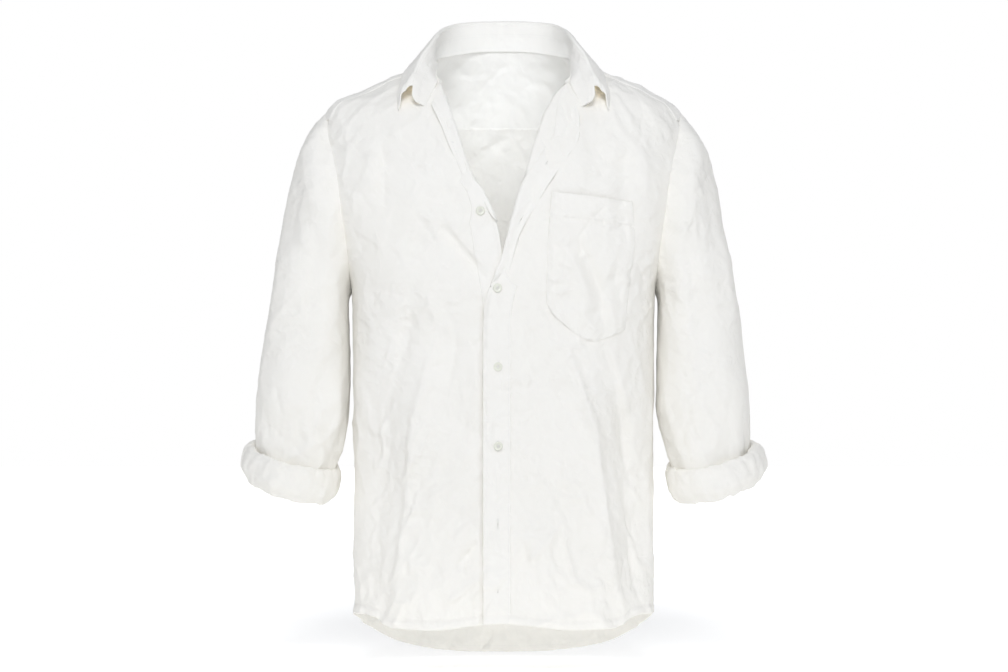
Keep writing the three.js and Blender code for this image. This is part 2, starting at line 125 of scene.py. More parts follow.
def noise(points, size, shift=0.0):
    """Smooth noise from -1 to 1 at points in mm, its waves about twice `size` long."""
    q = np.asarray(points, float) / size + shift
    cell = np.floor(q).astype(int)
    f = q - cell
    f = f * f * (3 - 2 * f)
    total = 0
    for corner in np.ndindex(2, 2, 2):
        i, j, k = np.moveaxis((cell + corner) % CELLS, -1, 0)
        along_x, along_y, along_z = np.moveaxis(np.where(corner, f, 1 - f), -1, 0)
        total = total + lattice[i, j, k] * (along_x * along_y) * along_z
    return total


def facets(points, size, shift=0.0):
    """Distance to the nearest of strewn seeds, in parts of `size`: cones that meet in straight ridges."""
    q = np.asarray(points, float) / size + shift
    cell = np.floor(q).astype(int)
    nearest = np.full(q.shape[:-1], 9.0)
    for step in np.ndindex(3, 3, 3):
        at = cell + step - 1
        i, j, k = np.moveaxis(at % CELLS, -1, 0)
        place = np.moveaxis(seeds[:, i, j, k], 0, -1) + at
        nearest = np.minimum(nearest, ((place - q) ** 2).sum(-1))
    return np.sqrt(nearest)


FAN_ANGLE = 0.42  # how far the small folds lean outward on each side, in radians


def wandering(points, size, shifts):
    """A smooth drift of the points, from -1 to 1 each way."""
    return np.stack([noise(points, size, shift) for shift in shifts], -1)


def slanted(points, side, stretch):
    """Points turned so that lines run down and outward on one side, and shortened along them."""
    c, s = math.cos(FAN_ANGLE * side), math.sin(FAN_ANGLE * side)
    across = points[..., 0] * c + points[..., 2] * s
    along = -points[..., 0] * s + points[..., 2] * c
    return np.stack([across, points[..., 1], along * stretch], -1)


def ridged(points, side, size, stretch, shift):
    """Long sharp crests that wander, where the noise changes sign."""
    warp = wandering(points, size * 0.8, [s + shift for s in (2.2, 6.4, 11.1)]) * size * 0.22
    return (1 - np.abs(noise(slanted(points + warp, side, stretch), size, shift))) ** 5


def crumple(points, size, side):
    """Small flat facets between straight, sharp folds, some standing out and some sunk."""
    warp = wandering(points, size * 1.9, (3.1, 7.7, 12.3)) * size * 0.28
    first = facets(slanted(points + warp, side, 0.55), size, 1.3)
    second = facets(slanted(points - warp, side, 0.75), size * 0.48, 4.6)
    share = smooth(noise(points, size * 2.2, 15.5), -0.5, 0.5)
    return (first - 0.55) * 1.5 * lerp(-0.6, 1.0, share) - (second - 0.55) * 0.55


# ---------------- sizes, as in the CAD

BAND = 34.0  # width of the button band and of the placket
FOLD_RADIUS = 3.4  # of the fold where a front turns back
LAY_GAP = 2.2  # between the middles of the two fronts where they overlap
SHOULDER_TIP, UNDERARM, SIDE_LEVEL = -48.0, -282.0, -698.0  # levels down the side: the last is its hem
BACK_SEAM, YOKE_TURN = -62.0, 83.0  # the yoke's seams: level behind, turn in front
HEM_HALF, TAIL_DROP = 194.4, 62  # half the body's width at the hem, and how far the tail reaches below it
HEM_WIDTH = 9.5
# Thickness of the layers of cloth in each part
SINGLE, HEM_FOLD, BAND_FOLD, YOKE_LAYERS, LEAF_LAYERS, STAND_LAYERS = 0.9, 1.7, 1.6, 1.3, 1.8, 2.0

# The body: half its width, its depth before and behind the middle, and how square its section is
form = Table("level half front back square", [
    (46, 47, 38, 63, 2.1), (40, 61, 42, 69, 2.1), (24, 84, 49, 75, 1.8), (0, 136, 59, 84, 1.7),
    (-20, 180, 68, 91, 1.8), (-48, 229, 80, 100, 2), (-80, 239, 92, 107, 2.2),
    (-120, 237, 102, 112, 2.7), (-170, 225, 110, 114, 3.1), (-230, 208, 115, 111, 3.1),
    (-282, 196, 117, 107, 2.7), (-340, 194.4, 116, 102, 2.5), (-450, 194.4, 112, 98, 2.5),
    (-600, 194.4, 110, 101, 2.4), (-760, 194.4, 110, 107, 2.4),
])
# The armhole, seen from the front
armhole = Table("level out", [
    (-48, 229), (-60, 228), (-80, 225.5), (-110, 218), (-134, 213), (-190, 205.5), (-240, 199), (-282, 196),
])
# The fold or edge of each front, wearer's left (1) and right (-1), and where its turned-back part ends
inner_edges = {
    1: Table("level x", [
        (24, 84), (-3, 83.5), (-14, 78), (-36, 61), (-72, 44.5), (-104, 35), (-135, 26), (-166, 16),
        (-203, 6.4), (-236, -2.5), (-256, -10.5), (-281, -18.3), (-310, -24.2), (-344, -25.2), (-712, -25.2),
    ]),
    -1: Table("level x", [
        (24, 84), (-3, 83.5), (-14, 79), (-28, 74), (-64, 61.7), (-94, 52), (-116, 45), (-135, 37.4),
        (-159, 21), (-189, 10.7), (-218, 4.4), (-236, 2), (-281, -6), (-310, -9.5), (-712, -9.5),
    ]),
}
flaps = {
    1: Table("level edgeX edgeZ lift", [
        (-14, 92.5, -45, 4), (-36, 97, -60, 4), (-72, 98, -84, 3.5), (-104, 82, -113, 3),
        (-135, 63, -141, 2.6), (-166, 44, -172, 2.6), (-203, 25, -205, 2.6), (-220, 18, -222, 2.8),
        (-236, 14, -238, 2.6), (-256, 8.5, -258, 2.3), (-267, -4, -267, 2.0), (-277, -17, -277, 1.6),
    ]),
    -1: Table("level edgeX edgeZ lift", [
        (-14, 91.5, -46, 5), (-28, 87, -57, 5), (-64, 79.5, -74, 5), (-94, 71, -96, 5.5),
        (-116, 62.5, -115, 4), (-136, 54, -137, 3), (-143, 42, -143, 3), (-160, 29, -161, 2.8),
        (-180, 19.5, -181, 2.6), (-195, 9.5, -195, 2.2),
    ]),
}
# The curve of the front hem, from the middle to the side
front_hem = Table("x level", [
    (0, -702), (26, -704), (92, -711), (140, -710), (156, -705.5), (168, -698), (183, -695.5), (195, -697),
])
# The collar from the middle of the back round to its end: foot of the stand, top fold, edge of the leaf
collar = Table("t turn level lift topX topY topZ hemX hemY hemZ", [
    (0, 180, 40, 0, 0, 64, 73, 0, 80, 33), (1, 155, 38.6, 0, 33, 60, 72, 36, 76, 32),
    (2, 131, 34.3, 0, 60.5, 47, 68.5, 70, 60, 29), (3, 108, 29, 0, 75, 22, 60.5, 99, 34, 20),
    (4, 90, 24, 1, 82.5, -8, 51.5, 115, 8, 13), (5, 71.6, 13, 2.6, 90.5, -34, 37, 126, -19, 5),
    (6, 62, -3, 5, 102, -50, 20, 132.5, -42, -14.5), (7, 56.2, -14, 8.4, 109.5, -61, 3, 136, -55, -31),
    (8, 54.6, -32, 7, 114.5, -73, -13, 134, -69, -46), (9, 54, -45, 5.5, 117, -80, -39, 132, -74, -58),
])
neck = Table("turn level", [
    (54, -45), (54.6, -32), (56.2, -14), (62, -3), (71.6, 13), (90, 24), (108, 29), (131, 34.3),
    (155, 38.6), (180, 40),
])
# The sleeve's sections from the armhole down: outer and inner points, and depth
sleeve = Table("t outX outZ inX inZ depth", [
    (1, 257, -86, 201, -292, 152), (2, 274, -138, 201.5, -306, 148), (3, 288, -212, 201, -330, 143),
    (4, 300, -284, 200, -362, 136), (5, 311, -352, 199.5, -400, 130), (6, 318.5, -416, 200.5, -440, 124),
    (7, 318.6, -462, 208.2, -477, 109.6), (8, 315, -504, 223, -519, 98),
])
# The pocket's side edges, at shares of its height
pocket = Table("down leftX leftZ rightX rightZ", [
    (0, 61, -157, 165, -169), (0.3, 57, -206, 167, -214), (0.6, 55, -254, 161, -258),
    (0.85, 54, -292, 156, -300), (1, 60, -308, 154, -322),
])

# ---------------- folds

# The largest folds, as in the CAD: side, high x z, low x z, width, height (a trough is negative)
FOLDS = np.array([
    (-1, -78, -196, -18, -276, 13, -5), (-1, -64, -222, -12, -300, 12, 3),
    (-1, -62, -300, -112, -470, 20, -5), (-1, -110, -460, -142, -690, 20, -6),
    (-1, -114, -280, -150, -440, 17, -4), (-1, -104, -170, -110, -262, 17, -4),
    (-1, -140, -95, -146, -230, 16, -4), (-1, -36, -575, -84, -690, 17, 5),
    (-1, 78, -320, 124, -500, 20, -5), (-1, 122, -490, 150, -690, 20, -6),
    (-1, 124, -350, 158, -520, 16, -4), (-1, 112, -80, 124, -150, 15, -4),
    (-1, 158, -100, 150, -220, 16, -4), (-1, 26, -560, 66, -690, 17, 5),
    (1, -120, -110, -96, -300, 22, -5), (1, 126, -120, 90, -320, 22, -5),
    (1, -40, -360, -70, -560, 26, 5), (1, 60, -380, 84, -600, 26, 5),
    (1, -134, -400, -150, -640, 20, -6), (1, 136, -420, 148, -650, 20, -6), (1, 0, -250, 10, -470, 24, -4),
], float)


def fold_height(x, z, side):
    """How far the largest folds stand out at (x, z) on the front (side -1) or the back (1)."""
    height = np.zeros(np.broadcast(x, z).shape)
    for fold_side, x1, z1, x2, z2, width, high in FOLDS:
        ax, az = x2 - x1, z2 - z1
        length = math.hypot(ax, az)
        t = ((x - x1) * ax + (z - z1) * az) / length**2
        off = ((x - x1) * az - (z - z1) * ax) / length
        fade = smooth(t, -0.12, 0.3) * (1 - smooth(t, 0.7, 1.12))
        height += np.where(side == fold_side, high * fade * bell(off, width), 0)
    return height


# Creases listed for the front: width and height in mm, lean (positive is steeper on the
# right of a line that runs down), then the points (x, z) that it runs through
FRONT_CREASES = [
    # long folds from the chest to the hem
    (24, 2.8, -0.45, (-92, -360), (-112, -450), (-122, -560), (-142, -700)),
    (24, 2.8, 0.45, (84, -360), (116, -450), (128, -560), (150, -700)),
    (18, -3.3, 0.2, (-140, -410), (-156, -480), (-164, -580), (-172, -690)),
    (18, -3.3, -0.2, (146, -420), (160, -490), (168, -590), (176, -690)),
    (9, 2.8, -0.55, (-84, -330), (-100, -385), (-114, -445), (-118, -521), (-128, -603), (-146, -690)),
    (9, 2.8, 0.55, (76, -332), (97, -397), (115, -458), (121, -515), (126, -565), (137, -616), (150, -688)),
    (9, -2.2, 0.2, (-112, -285), (-124, -350), (-138, -380), (-150, -420), (-154, -462)),
    (9, -2.2, -0.2, (118, -335), (141, -395), (156, -458), (165, -510)),
    (7, 1.8, 0.3, (-132, -350), (-143, -395), (-160, -440)),
    (7, 1.8, -0.3, (131, -350), (150, -395), (166, -450)),
    (6, -1.6, 0, (30, -338), (34, -388), (46, -445), (54, -474)),
    (6, -1.5, 0, (55, -355), (66, -395), (79, -436)),
    (7, -1.8, 0, (-60, -330), (-64, -372), (-72, -410)),
    # drag lines from the closure up to the chest
    (6, -1.9, 0.3, (-94, -180), (-68, -211), (-45, -239), (-19, -270)),
    (6, 2.0, -0.3, (-73, -193), (-42, -230), (-21, -254)),
    (4, -1.3, 0, (-66, -163), (-50, -182)),
    (5, -1.4, 0, (-118, -176), (-96, -204), (-80, -228)),
    # chest and shoulders
    (9, 2.0, 0.2, (-170, -98), (-168, -130), (-166, -162)),
    (8, -2.0, 0, (-156, -88), (-153, -130), (-152, -176)),
    (5, -1.7, 0, (113, -92), (124, -110), (136, -124)),
    (5, -1.3, 0, (136, -124), (150, -113), (163, -100)),
    (9, -2.0, 0, (157, -106), (155, -128), (153, -152)),
    (8, 1.9, 0, (171, -98), (172, -120), (173, -145)),
    (5, 1.3, 0, (-108, -66), (-126, -74), (-150, -88)),
    (5, -1.2, 0, (104, -62), (128, -72), (146, -84)),
    # crumples on the picture's left
    (4, 1.4, 0.2, (-146, -228), (-131, -218), (-115, -194)),
    (3.5, -1.2, 0, (-125, -231), (-105, -211), (-95, -194)),
    (4, 1.3, 0, (-163, -210), (-155, -226), (-151, -240)),
    (3.5, 1.1, 0, (-134, -254), (-119, -248), (-104, -246)),
    (4, 1.6, 0.2, (-182, -244), (-174, -262), (-178, -285)),
    (4, -1.4, 0, (-173, -262), (-166, -280), (-163, -300)),
    (3.5, 1.5, 0, (-75, -280), (-65, -293), (-54, -300)),
    (4, 1.4, 0, (-119, -298), (-106, -320), (-97, -339)),
    (3.5, 1.2, 0, (-100, -292), (-90, -306), (-84, -318)),
    (3.5, 1.2, 0, (-131, -292), (-124, -308), (-120, -322)),
    (3, 1.3, 0, (-44, -341), (-27, -336)),
    (3, -1.1, 0, (-42, -351), (-26, -347)),
    (5, -1.2, 0, (-52, -481), (-40, -472), (-27, -465)),
    (3.5, 1.3, 0, (-112, -534), (-95, -523), (-67, -511)),
    (3, -1.1, 0, (-106, -540), (-88, -533), (-73, -525)),
    (3.5, 1.1, 0, (-106, -578), (-88, -569), (-72, -562)),
    (3.5, -1.0, 0, (-66, -497), (-50, -503), (-34, -500)),
    # lower left, fanning from the closure
    (6, 2.2, 0.2, (-33, -568), (-48, -583), (-63, -600)),
    (6, -2.8, 0, (-28, -594), (-47, -616), (-66, -638)),
    (6, 2.1, 0.2, (-28, -642), (-52, -662), (-76, -681)),
    (5, -2.3, 0, (-32, -650), (-34, -670), (-36, -692)),
    (7, -2.0, 0, (-43, -606), (-43, -622), (-47, -640)),
    (4, 1.2, 0, (-84, -618), (-98, -634), (-104, -652)),
    (4, 1.5, 0, (-186, -640), (-176, -656), (-178, -680)),
    (4, -1.4, 0, (-192, -660), (-172, -672), (-160, -684)),
    # lower right, fanning from the closure
    (3.5, -1.7, 0, (6, -582), (33, -588), (60, -585)),
    (3, 1.3, 0, (11, -591), (28, -595), (46, -594)),
    (6, -2.6, 0.2, (34, -597), (20, -641), (19, -688)),
    (6, 2.5, -0.2, (76, -572), (52, -600), (27, -630)),
    (3, -1.3, 0, (96, -609), (110, -610), (123, -616)),
    (4, 1.6, 0, (91, -637), (78, -653), (66, -670)),
    (4, 1.3, 0, (124, -652), (109, -645), (96, -631)),
    (3.5, -1.2, 0, (88, -668), (108, -674), (126, -668)),
    (4, 1.6, 0, (84, -520), (94, -528), (104, -537)),
    (4, 1.5, 0, (46, -488), (43, -515), (42, -541)),
    (4, 1.2, 0, (16, -514), (31, -530), (47, -540)),
    (3.5, -1.1, 0, (52, -470), (62, -482), (78, -492)),
    (3.5, 1.2, 0, (12, -425), (24, -430), (36, -428)),
    (3.5, -1.1, 0, (10, -402), (24, -405), (40, -402)),
    (4, 1.5, 0, (188, -600), (176, -622), (184, -640)),
    (4, -1.5, 0, (192, -636), (174, -652), (166, -672)),
    # the pocket and the cloth beside it
    (10, -2.7, 0.25, (88, -208), (109, -246), (122, -284), (127, -319), (129, -342)),
    (8, 1.8, -0.2, (77, -224), (97, -262), (110, -302)),
    (3.5, 1.4, 0, (63, -221), (73, -219), (83, -225)),
    (4, 1.5, 0, (61, -245), (74, -247), (88, -257)),
    (4, 1.4, 0, (62, -270), (76, -267), (91, -273)),
    (3.5, 1.3, 0, (66, -289), (75, -282), (86, -279)),
    (3.5, -1.2, 0, (139, -224), (143, -250), (139, -276)),
    (4, 1.4, 0, (104, -178), (111, -188), (118, -198)),
    (3.5, -1.3, 0, (121, -180), (123, -190), (127, -200)),
    (3.5, 1.2, 0, (134, -186), (138, -194), (146, -202)),
    (4, 1.8, 0, (172, -264), (184, -247), (195, -236)),
    (4, -1.4, 0, (162, -240), (174, -252), (180, -268)),
    (5, 1.3, 0, (58, -352), (80, -346), (104, -356)),
    # sleeves, above the rolls
    (2.8, -1.9, 0, (-290, -398), (-286, -440), (-291, -467), (-297, -484)),
    (2.5, -1.6, 0, (-310, -422), (-304, -459), (-305, -484)),
    (2.8, -2, 0, (-240, -418), (-245, -455), (-233, -475), (-226, -498)),
    (2.2, -1.4, 0, (-234, -452), (-228, -478), (-222, -504)),
    (3.9, -1.2, 0, (-262, -428), (-260, -460), (-256, -492)),
    (2.8, 1, 0, (-276, -446), (-271, -470), (-270, -490)),
    (12, -2.4, 0, (-262, -100), (-272, -170), (-277, -240)),
    (10, 1.8, 0, (-282, -190), (-291, -260), (-298, -330)),
    (12, -2.0, 0, (-236, -200), (-245, -280), (-252, -350)),
    (3.3, 1, 0, (-222, -330), (-236, -352), (-252, -366)),
    (2.8, -2, 0, (238, -396), (239, -436), (231, -467), (226, -499)),
    (2.8, -1.8, 0, (293, -396), (288, -447), (298, -482)),
    (2.5, -1.6, 0, (312, -410), (308, -442), (311, -482)),
    (2.2, -1.3, 0, (252, -456), (247, -476), (246, -498)),
    (2.8, 1, 0, (268, -440), (272, -466), (270, -490)),
    (12, -2.4, 0, (258, -104), (270, -180), (279, -250)),
    (10, 1.8, 0, (284, -200), (291, -270), (300, -340)),
    (12, -2.0, 0, (236, -200), (243, -290), (252, -360)),
    (3.3, 1, 0, (220, -318), (234, -334), (250, -344)),
]

# Similar ones on the back
BACK_CREASES = [
    (9, 2.4, -0.4, (-100, -120), (-92, -190), (-96, -280), (-108, -350)),
    (9, 2.4, 0.4, (104, -118), (98, -200), (94, -290), (104, -372)),
    (8, -2.2, 0, (-132, -150), (-128, -220), (-140, -300)),
    (8, -2.2, 0, (138, -140), (130, -226), (138, -296)),
    (9, 2.8, 0.5, (-52, -330), (-64, -420), (-78, -520), (-88, -640)),
    (9, 2.6, -0.5, (64, -350), (76, -440), (92, -560), (98, -660)),
    (7, -2.0, 0, (-20, -280), (-8, -360), (-16, -450)),
    (7, -1.8, 0, (24, -420), (30, -500), (18, -590)),
    (6, 2.0, 0, (-150, -330), (-120, -360), (-92, -376)),
    (6, 2.0, 0, (152, -340), (128, -372), (96, -384)),
    (5, 1.6, 0, (-168, -250), (-150, -270), (-140, -300)),
    (5, 1.6, 0, (170, -246), (152, -262), (144, -292)),
    (4, 1.4, 0, (-110, -450), (-84, -440), (-60, -448)),
    (4, -1.3, 0, (-104, -464), (-84, -458), (-66, -466)),
    (4, 1.4, 0, (36, -466), (58, -476), (84, -470)),
    (4, 1.3, 0, (-30, -540), (-6, -552), (20, -546)),
    (5, 1.8, 0, (-150, -560), (-132, -600), (-136, -650)),
    (5, -1.7, 0, (140, -540), (126, -590), (134, -650)),
    (4, 1.3, 0, (-40, -640), (-28, -680), (-34, -720)),
    (4, 1.4, 0, (44, -630), (52, -670), (40, -720)),
    (5, 1.4, 0, (-60, -80), (-40, -120), (-34, -170)),
    (5, 1.4, 0, (66, -84), (46, -128), (40, -176)),
    (4, 1.2, 0, (-14, -190), (6, -204), (30, -200)),
    (2.8, -1.8, 0, (-286, -400), (-282, -440), (-290, -480)),
    (2.8, -1.6, 0, (-250, -410), (-246, -450), (-238, -496)),
    (2.8, 1.2, 0, (-268, -350), (-262, -390), (-266, -430)),
    (3.3, 1.5, 0, (-300, -250), (-268, -276), (-236, -282)),
    (3.3, 1.4, 0, (-302, -290), (-272, -306), (-240, -306)),
    (12, -2.4, 0, (-256, -110), (-262, -180), (-270, -240)),
    (2.8, -1.8, 0, (288, -396), (284, -446), (292, -482)),
    (2.8, -1.6, 0, (246, -404), (250, -450), (240, -494)),
    (2.8, 1.2, 0, (266, -352), (270, -396), (264, -436)),
    (3.3, 1.5, 0, (300, -262), (270, -284), (238, -290)),
    (3.3, 1.4, 0, (304, -300), (276, -320), (242, -318)),
    (12, -2.4, 0, (254, -108), (262, -176), (272, -236)),
]


def crease_height(x, z, creases):
    """Sum of the listed creases at points (x, z): a rounded crest that falls off to both sides."""
    total = np.zeros(x.shape)
    for width, height, lean, *line in creases:
        line = np.array(line, float)
        reach = width * 7
        near = (x > line[:, 0].min() - reach) & (x < line[:, 0].max() + reach)
        near &= (z > line[:, 1].min() - reach) & (z < line[:, 1].max() + reach)
        if not near.any():
            continue
        px, pz = x[near], z[near]
        best = np.full(px.shape, 1e9)
        side = np.zeros(px.shape)
        along = np.zeros(px.shape)
        lengths = np.hypot(*np.diff(line, axis=0).T)
        done = 0.0
        for (x1, z1), (x2, z2), length in zip(line[:-1], line[1:], lengths):
            ux, uz = (x2 - x1) / length, (z2 - z1) / length
            raw = (px - x1) * ux + (pz - z1) * uz
            t = np.clip(raw, 0, length)
            dx, dz = px - x1 - ux * t, pz - z1 - uz * t
            distance = np.hypot(dx, dz)
            closer = distance < best
            best = np.where(closer, distance, best)
            side = np.where(closer, -dx * uz + dz * ux, side)
            along = np.where(closer, done + t, along)
            done += length
        share = along / done
        wide = width * (1 - lean * np.sign(side)) * (0.65 + 0.5 * np.sin(math.pi * share))
        blunt = 0.15 if width < 8 else 0.32
        crest = np.exp(blunt - np.sqrt((best / wide) ** 2 + blunt**2))
        taper = 0.12 + 0.88 * smooth(share, 0, 0.28) * (1 - smooth(share, 0.72, 1))
        gain = 1.25 + 1.25 * float(smooth(width, 4.2, 7.5))
        total[near] += height * gain * crest * taper
    return total


def scattered(count, seed):
    """Small short creases strewn over one side: most low down, by the sides and on the sleeves."""
    draw = np.random.default_rng(seed)
    made = []
    while len(made) < count:
        x, z = draw.uniform(-320, 320), draw.uniform(-700, -60)
        arm = abs(x) > 205
        if arm and z < -500 or abs(x) > 190 and not arm:
            continue
        if arm:
            dense = 0.3 + 0.5 * smooth(-z, 300, 440)
        else:
            dense = 0.28 + 0.72 * smooth(-z, 330, 560) + 0.4 * (abs(x) > 130)
        if draw.uniform() > dense:
            continue
        if arm:
            angle = math.pi / 2 + draw.normal(0, 0.5)
        else:
            angle = math.atan2(-300 - z, -x if abs(x) > 1 else 1) + draw.normal(0, 0.55)
        length = draw.uniform(16, 74) * (1.2 if arm else 1)
        bend = draw.normal(0, 0.12)
        dx, dz = math.cos(angle) * length / 2, math.sin(angle) * length / 2
        line = [(x - dx, z - dz), (x - dz * bend, z + dx * bend), (x + dx, z + dz)]
        height = draw.uniform(0.35, 1.35) * draw.choice([1, 1, -1])
        made.append((draw.uniform(1.5, 2.9), height, draw.uniform(-0.45, 0.45), *line))
    return made


SMALL_FRONT = scattered(420, 5)
SMALL_BACK = scattered(330, 8)


def relief(points):
    """How far the cloth's small folds stand out at points in mm: listed creases, then crumple."""
    x, y, z = points[..., 0], points[..., 1], points[..., 2]
    front, back = smooth(-y, 2, 44), smooth(y, 2, 44)
    height = crease_height(x, z, FRONT_CREASES) * front + crease_height(x, z, BACK_CREASES) * back
    height += crease_height(x, z, SMALL_FRONT) * front + crease_height(x, z, SMALL_BACK) * back
    worn = 0.75 + 0.6 * smooth(noise(points, 62, 9.2), -0.35, 0.55)
    low = smooth(-z, 250, 640)
    leftward = smooth(x, -34, 34)
    for side, share in ((-1, 1 - leftward), (1, leftward)):
        at = share > 0
        p, deep, rough = points[at], low[at], worn[at]
        small = crumple(p, 27, side) * (2.1 + 1.9 * deep) * rough
        small += (2.0 + 1.9 * deep) * rough * ridged(p, side, 46, 0.4, 5.3)
        small += (1.1 + 1.2 * deep) * rough * ridged(p, side, 23, 0.5, 1.1)
        height[at] += share[at] * (small + (2.4 + 1.6 * deep) * noise(slanted(p, side, 0.45), 40, 2.4))
    arm = np.abs(np.abs(x) - armhole("out", z))
    height *= 1 - 0.85 * bell(arm, 9) * smooth(z, UNDERARM - 10, UNDERARM + 30)
    height -= 6.5 * bell(np.abs(x) - 163, 34) * smooth(-z, 300, 520)  # hollows down the sides
    by_seam = np.exp(-arm / 9) * smooth(z, UNDERARM - 10, UNDERARM + 30)
    height += 1.5 * by_seam * noise(points * (0.25, 0.25, 1), 5.2, 1.7)
    return height


# ---------------- the garment form


def skin(turn, level, lift=0.0):
    """Points of the form at turns in degrees from the front centre and at levels."""
    turn, level, lift = np.broadcast_arrays(np.asarray(turn, float), level, lift)
    s, c = np.sin(np.radians(turn)), np.cos(np.radians(turn))
    half, square = form("half", level), form("square", level)
    depth = np.where(c > 0, form("front", level), form("back", level))
    r = ((np.abs(s) / half) ** square + (np.abs(c) / depth) ** square) ** (-1 / square)
    raised = fold_height(r * s, level, np.where(c > 0, -1, 1)) * smooth(np.abs(c), 0.1, 0.5)
    out = r + lift + raised
    return np.stack([out * s, -out * c, level], -1)


def turn_at(x, level, back=False):
    """The turn, in degrees from the front centre, at which the form reaches across to x."""
    x, level = np.asarray(x, float), np.asarray(level, float)
    half, square = form("half", level), form("square", level)
    part = np.maximum(0, 1 - np.minimum(1, np.abs(x) / half) ** square)
    depth = form("back" if back else "front", level) * part ** (1 / square)
    return np.degrees(np.arctan2(x, -depth if back else depth))


def edge_turn(level, back=False):
    """The turn of the armhole, and below it of the side seam."""
    if level <= UNDERARM:
        return 90.0
    return float(turn_at(armhole("out", min(level, SHOULDER_TIP)), level, back))


def hem_fade(level):
    """How far a level is drawn down with the hem's curve: wholly at the hem, not at all higher up."""
    return 1 - smooth(level, SIDE_LEVEL, SIDE_LEVEL + 190)


def front_drop(x):
    return SIDE_LEVEL - front_hem("level", np.abs(x))


def back_drop(x):
    across = np.minimum(1, np.abs(x) / HEM_HALF)
    return TAIL_DROP * np.maximum(0, 1 - across**2.6) ** 0.62


class Curve:
    """A polyline read at distances from its start."""

    def __init__(self, points):
        self.points = points
        self.marks = running(np.linalg.norm(np.diff(points, axis=0), axis=1))
        self.length = self.marks[-1]

    def at(self, d):
        d = np.asarray(d, float)
        inside = np.stack([np.interp(d, self.marks, self.points[:, k]) for k in range(3)], -1)
        first = unit(self.points[1] - self.points[0]) * np.minimum(d, 0)[..., None]
        last = unit(self.points[-1] - self.points[-2]) * np.maximum(d - self.length, 0)[..., None]
        return inside + first + last


class Front:
    """One front's cloth: distance d outward from its inner edge; d below 0 is turned back."""

    def __init__(self, hand):
        self.hand, self.edge, self.flap = hand, inner_edges[hand], flaps[hand]
        self.top, self.foot = self.flap.keys[-1], self.flap.keys[0]
        self.rows = {}

    def row(self, level):
        if level not in self.rows:
            start = float(turn_at(self.edge("x", level), level))
            end = min(edge_turn(level), YOKE_TURN) if level > -120 else edge_turn(level)
            turns = self.hand * np.linspace(start, end, 241)
            flat = skin(turns, level)
            base = Curve(skin(turns, level - front_drop(flat[:, 0]) * hem_fade(level)))
            over, width, lift, radius = None, 0.0, 0.0, 0.0  # no turned-back part
            if self.foot < level <= self.top:
                start_x = float(self.edge("x", level))
                share = np.linspace(0, 1, 61)
                x = lerp(start_x, float(self.flap("edgeX", level)), share)
                z = lerp(level, float(self.flap("edgeZ", level)), share)
                over = Curve(skin(self.hand * turn_at(x, z), z))
                width, lift = over.length, float(self.flap("lift", level))
                radius = min(FOLD_RADIUS, width / 4)
            self.rows[level] = (base, over, width, lift, radius)
        return self.rows[level]

    def points(self, d, level):
        base, over, width, lift, radius = self.row(level)
        d = np.asarray(d, float)
        half = math.pi / 2 * radius
        lap = self.hand * LAY_GAP / 2 * (1 - smooth(d, BAND, 2.2 * BAND)) * (1 - smooth(level, -215, -130))
        if width == 0:
            return self.outward(base.at(d), lap, level)
        phi = np.clip(d / radius, -math.pi / 2, math.pi / 2)
        across = radius * (1 - np.cos(phi))
        bend = np.where((d > 0)[:, None], base.at(across), over.at(across))
        beyond = np.maximum(-d - half, 0)
        settle = smooth(beyond / max(width - half, 1e-6), 0, 0.7)
        lying, bending = d >= half, d > -half
        turned = np.where(bending[:, None], bend, over.at(beyond + radius))
        place = np.where(lying[:, None], base.at(d - half + radius), turned)
        height = np.where(bending, radius * (1 - np.sin(phi)), lerp(2 * radius, lift, settle))
        return self.outward(place, np.where(lying, 0, height) + lap, level)

    @staticmethod
    def outward(p, amount, level):
        half, front, square = form("half", level), form("front", level), form("square", level)
        flat = np.stack([
            np.sign(p[:, 0]) * (np.abs(p[:, 0]) / half) ** (square - 1) / half,
            -((np.abs(p[:, 1]) / front) ** (square - 1)) / front,
            np.zeros(len(p)),
        ], -1)
        flat = unit(flat)
        flat[:, 2] = 0.25 * smooth(level, -120, -10)
        return p + unit(flat) * np.broadcast_to(amount, (len(p),))[:, None]


fronts = {1: Front(1), -1: Front(-1)}


def spread(start, end, count, middle=0.0, close=7.0, extra=2.2):
    """Distances from start to end, closer together near the middle."""
    fine = np.linspace(start, end, 400)
    weight = 1 + extra * bell(fine - middle, close)
    marks = running((weight[1:] + weight[:-1]) / 2)
    return np.interp(np.linspace(0, marks[-1], count), marks, fine)


# ---------------- shells


def normals_of(grid, loop=False):
    wide = np.concatenate([grid[:, -1:], grid, grid[:, :1]], 1)
    across = wide[:, 2:] - wide[:, :-2] if loop else np.gradient(grid, axis=1)
    return unit(np.cross(across, np.gradient(grid, axis=0)))


def outer_sign(grid, centre=(0, 0, 0), loop=False):
    """1 if the grid's normals point away from the centre line, else -1."""
    away = grid - centre
    away[..., 2] = 0
    return 1 if (normals_of(grid, loop) * away).sum() > 0 else -1


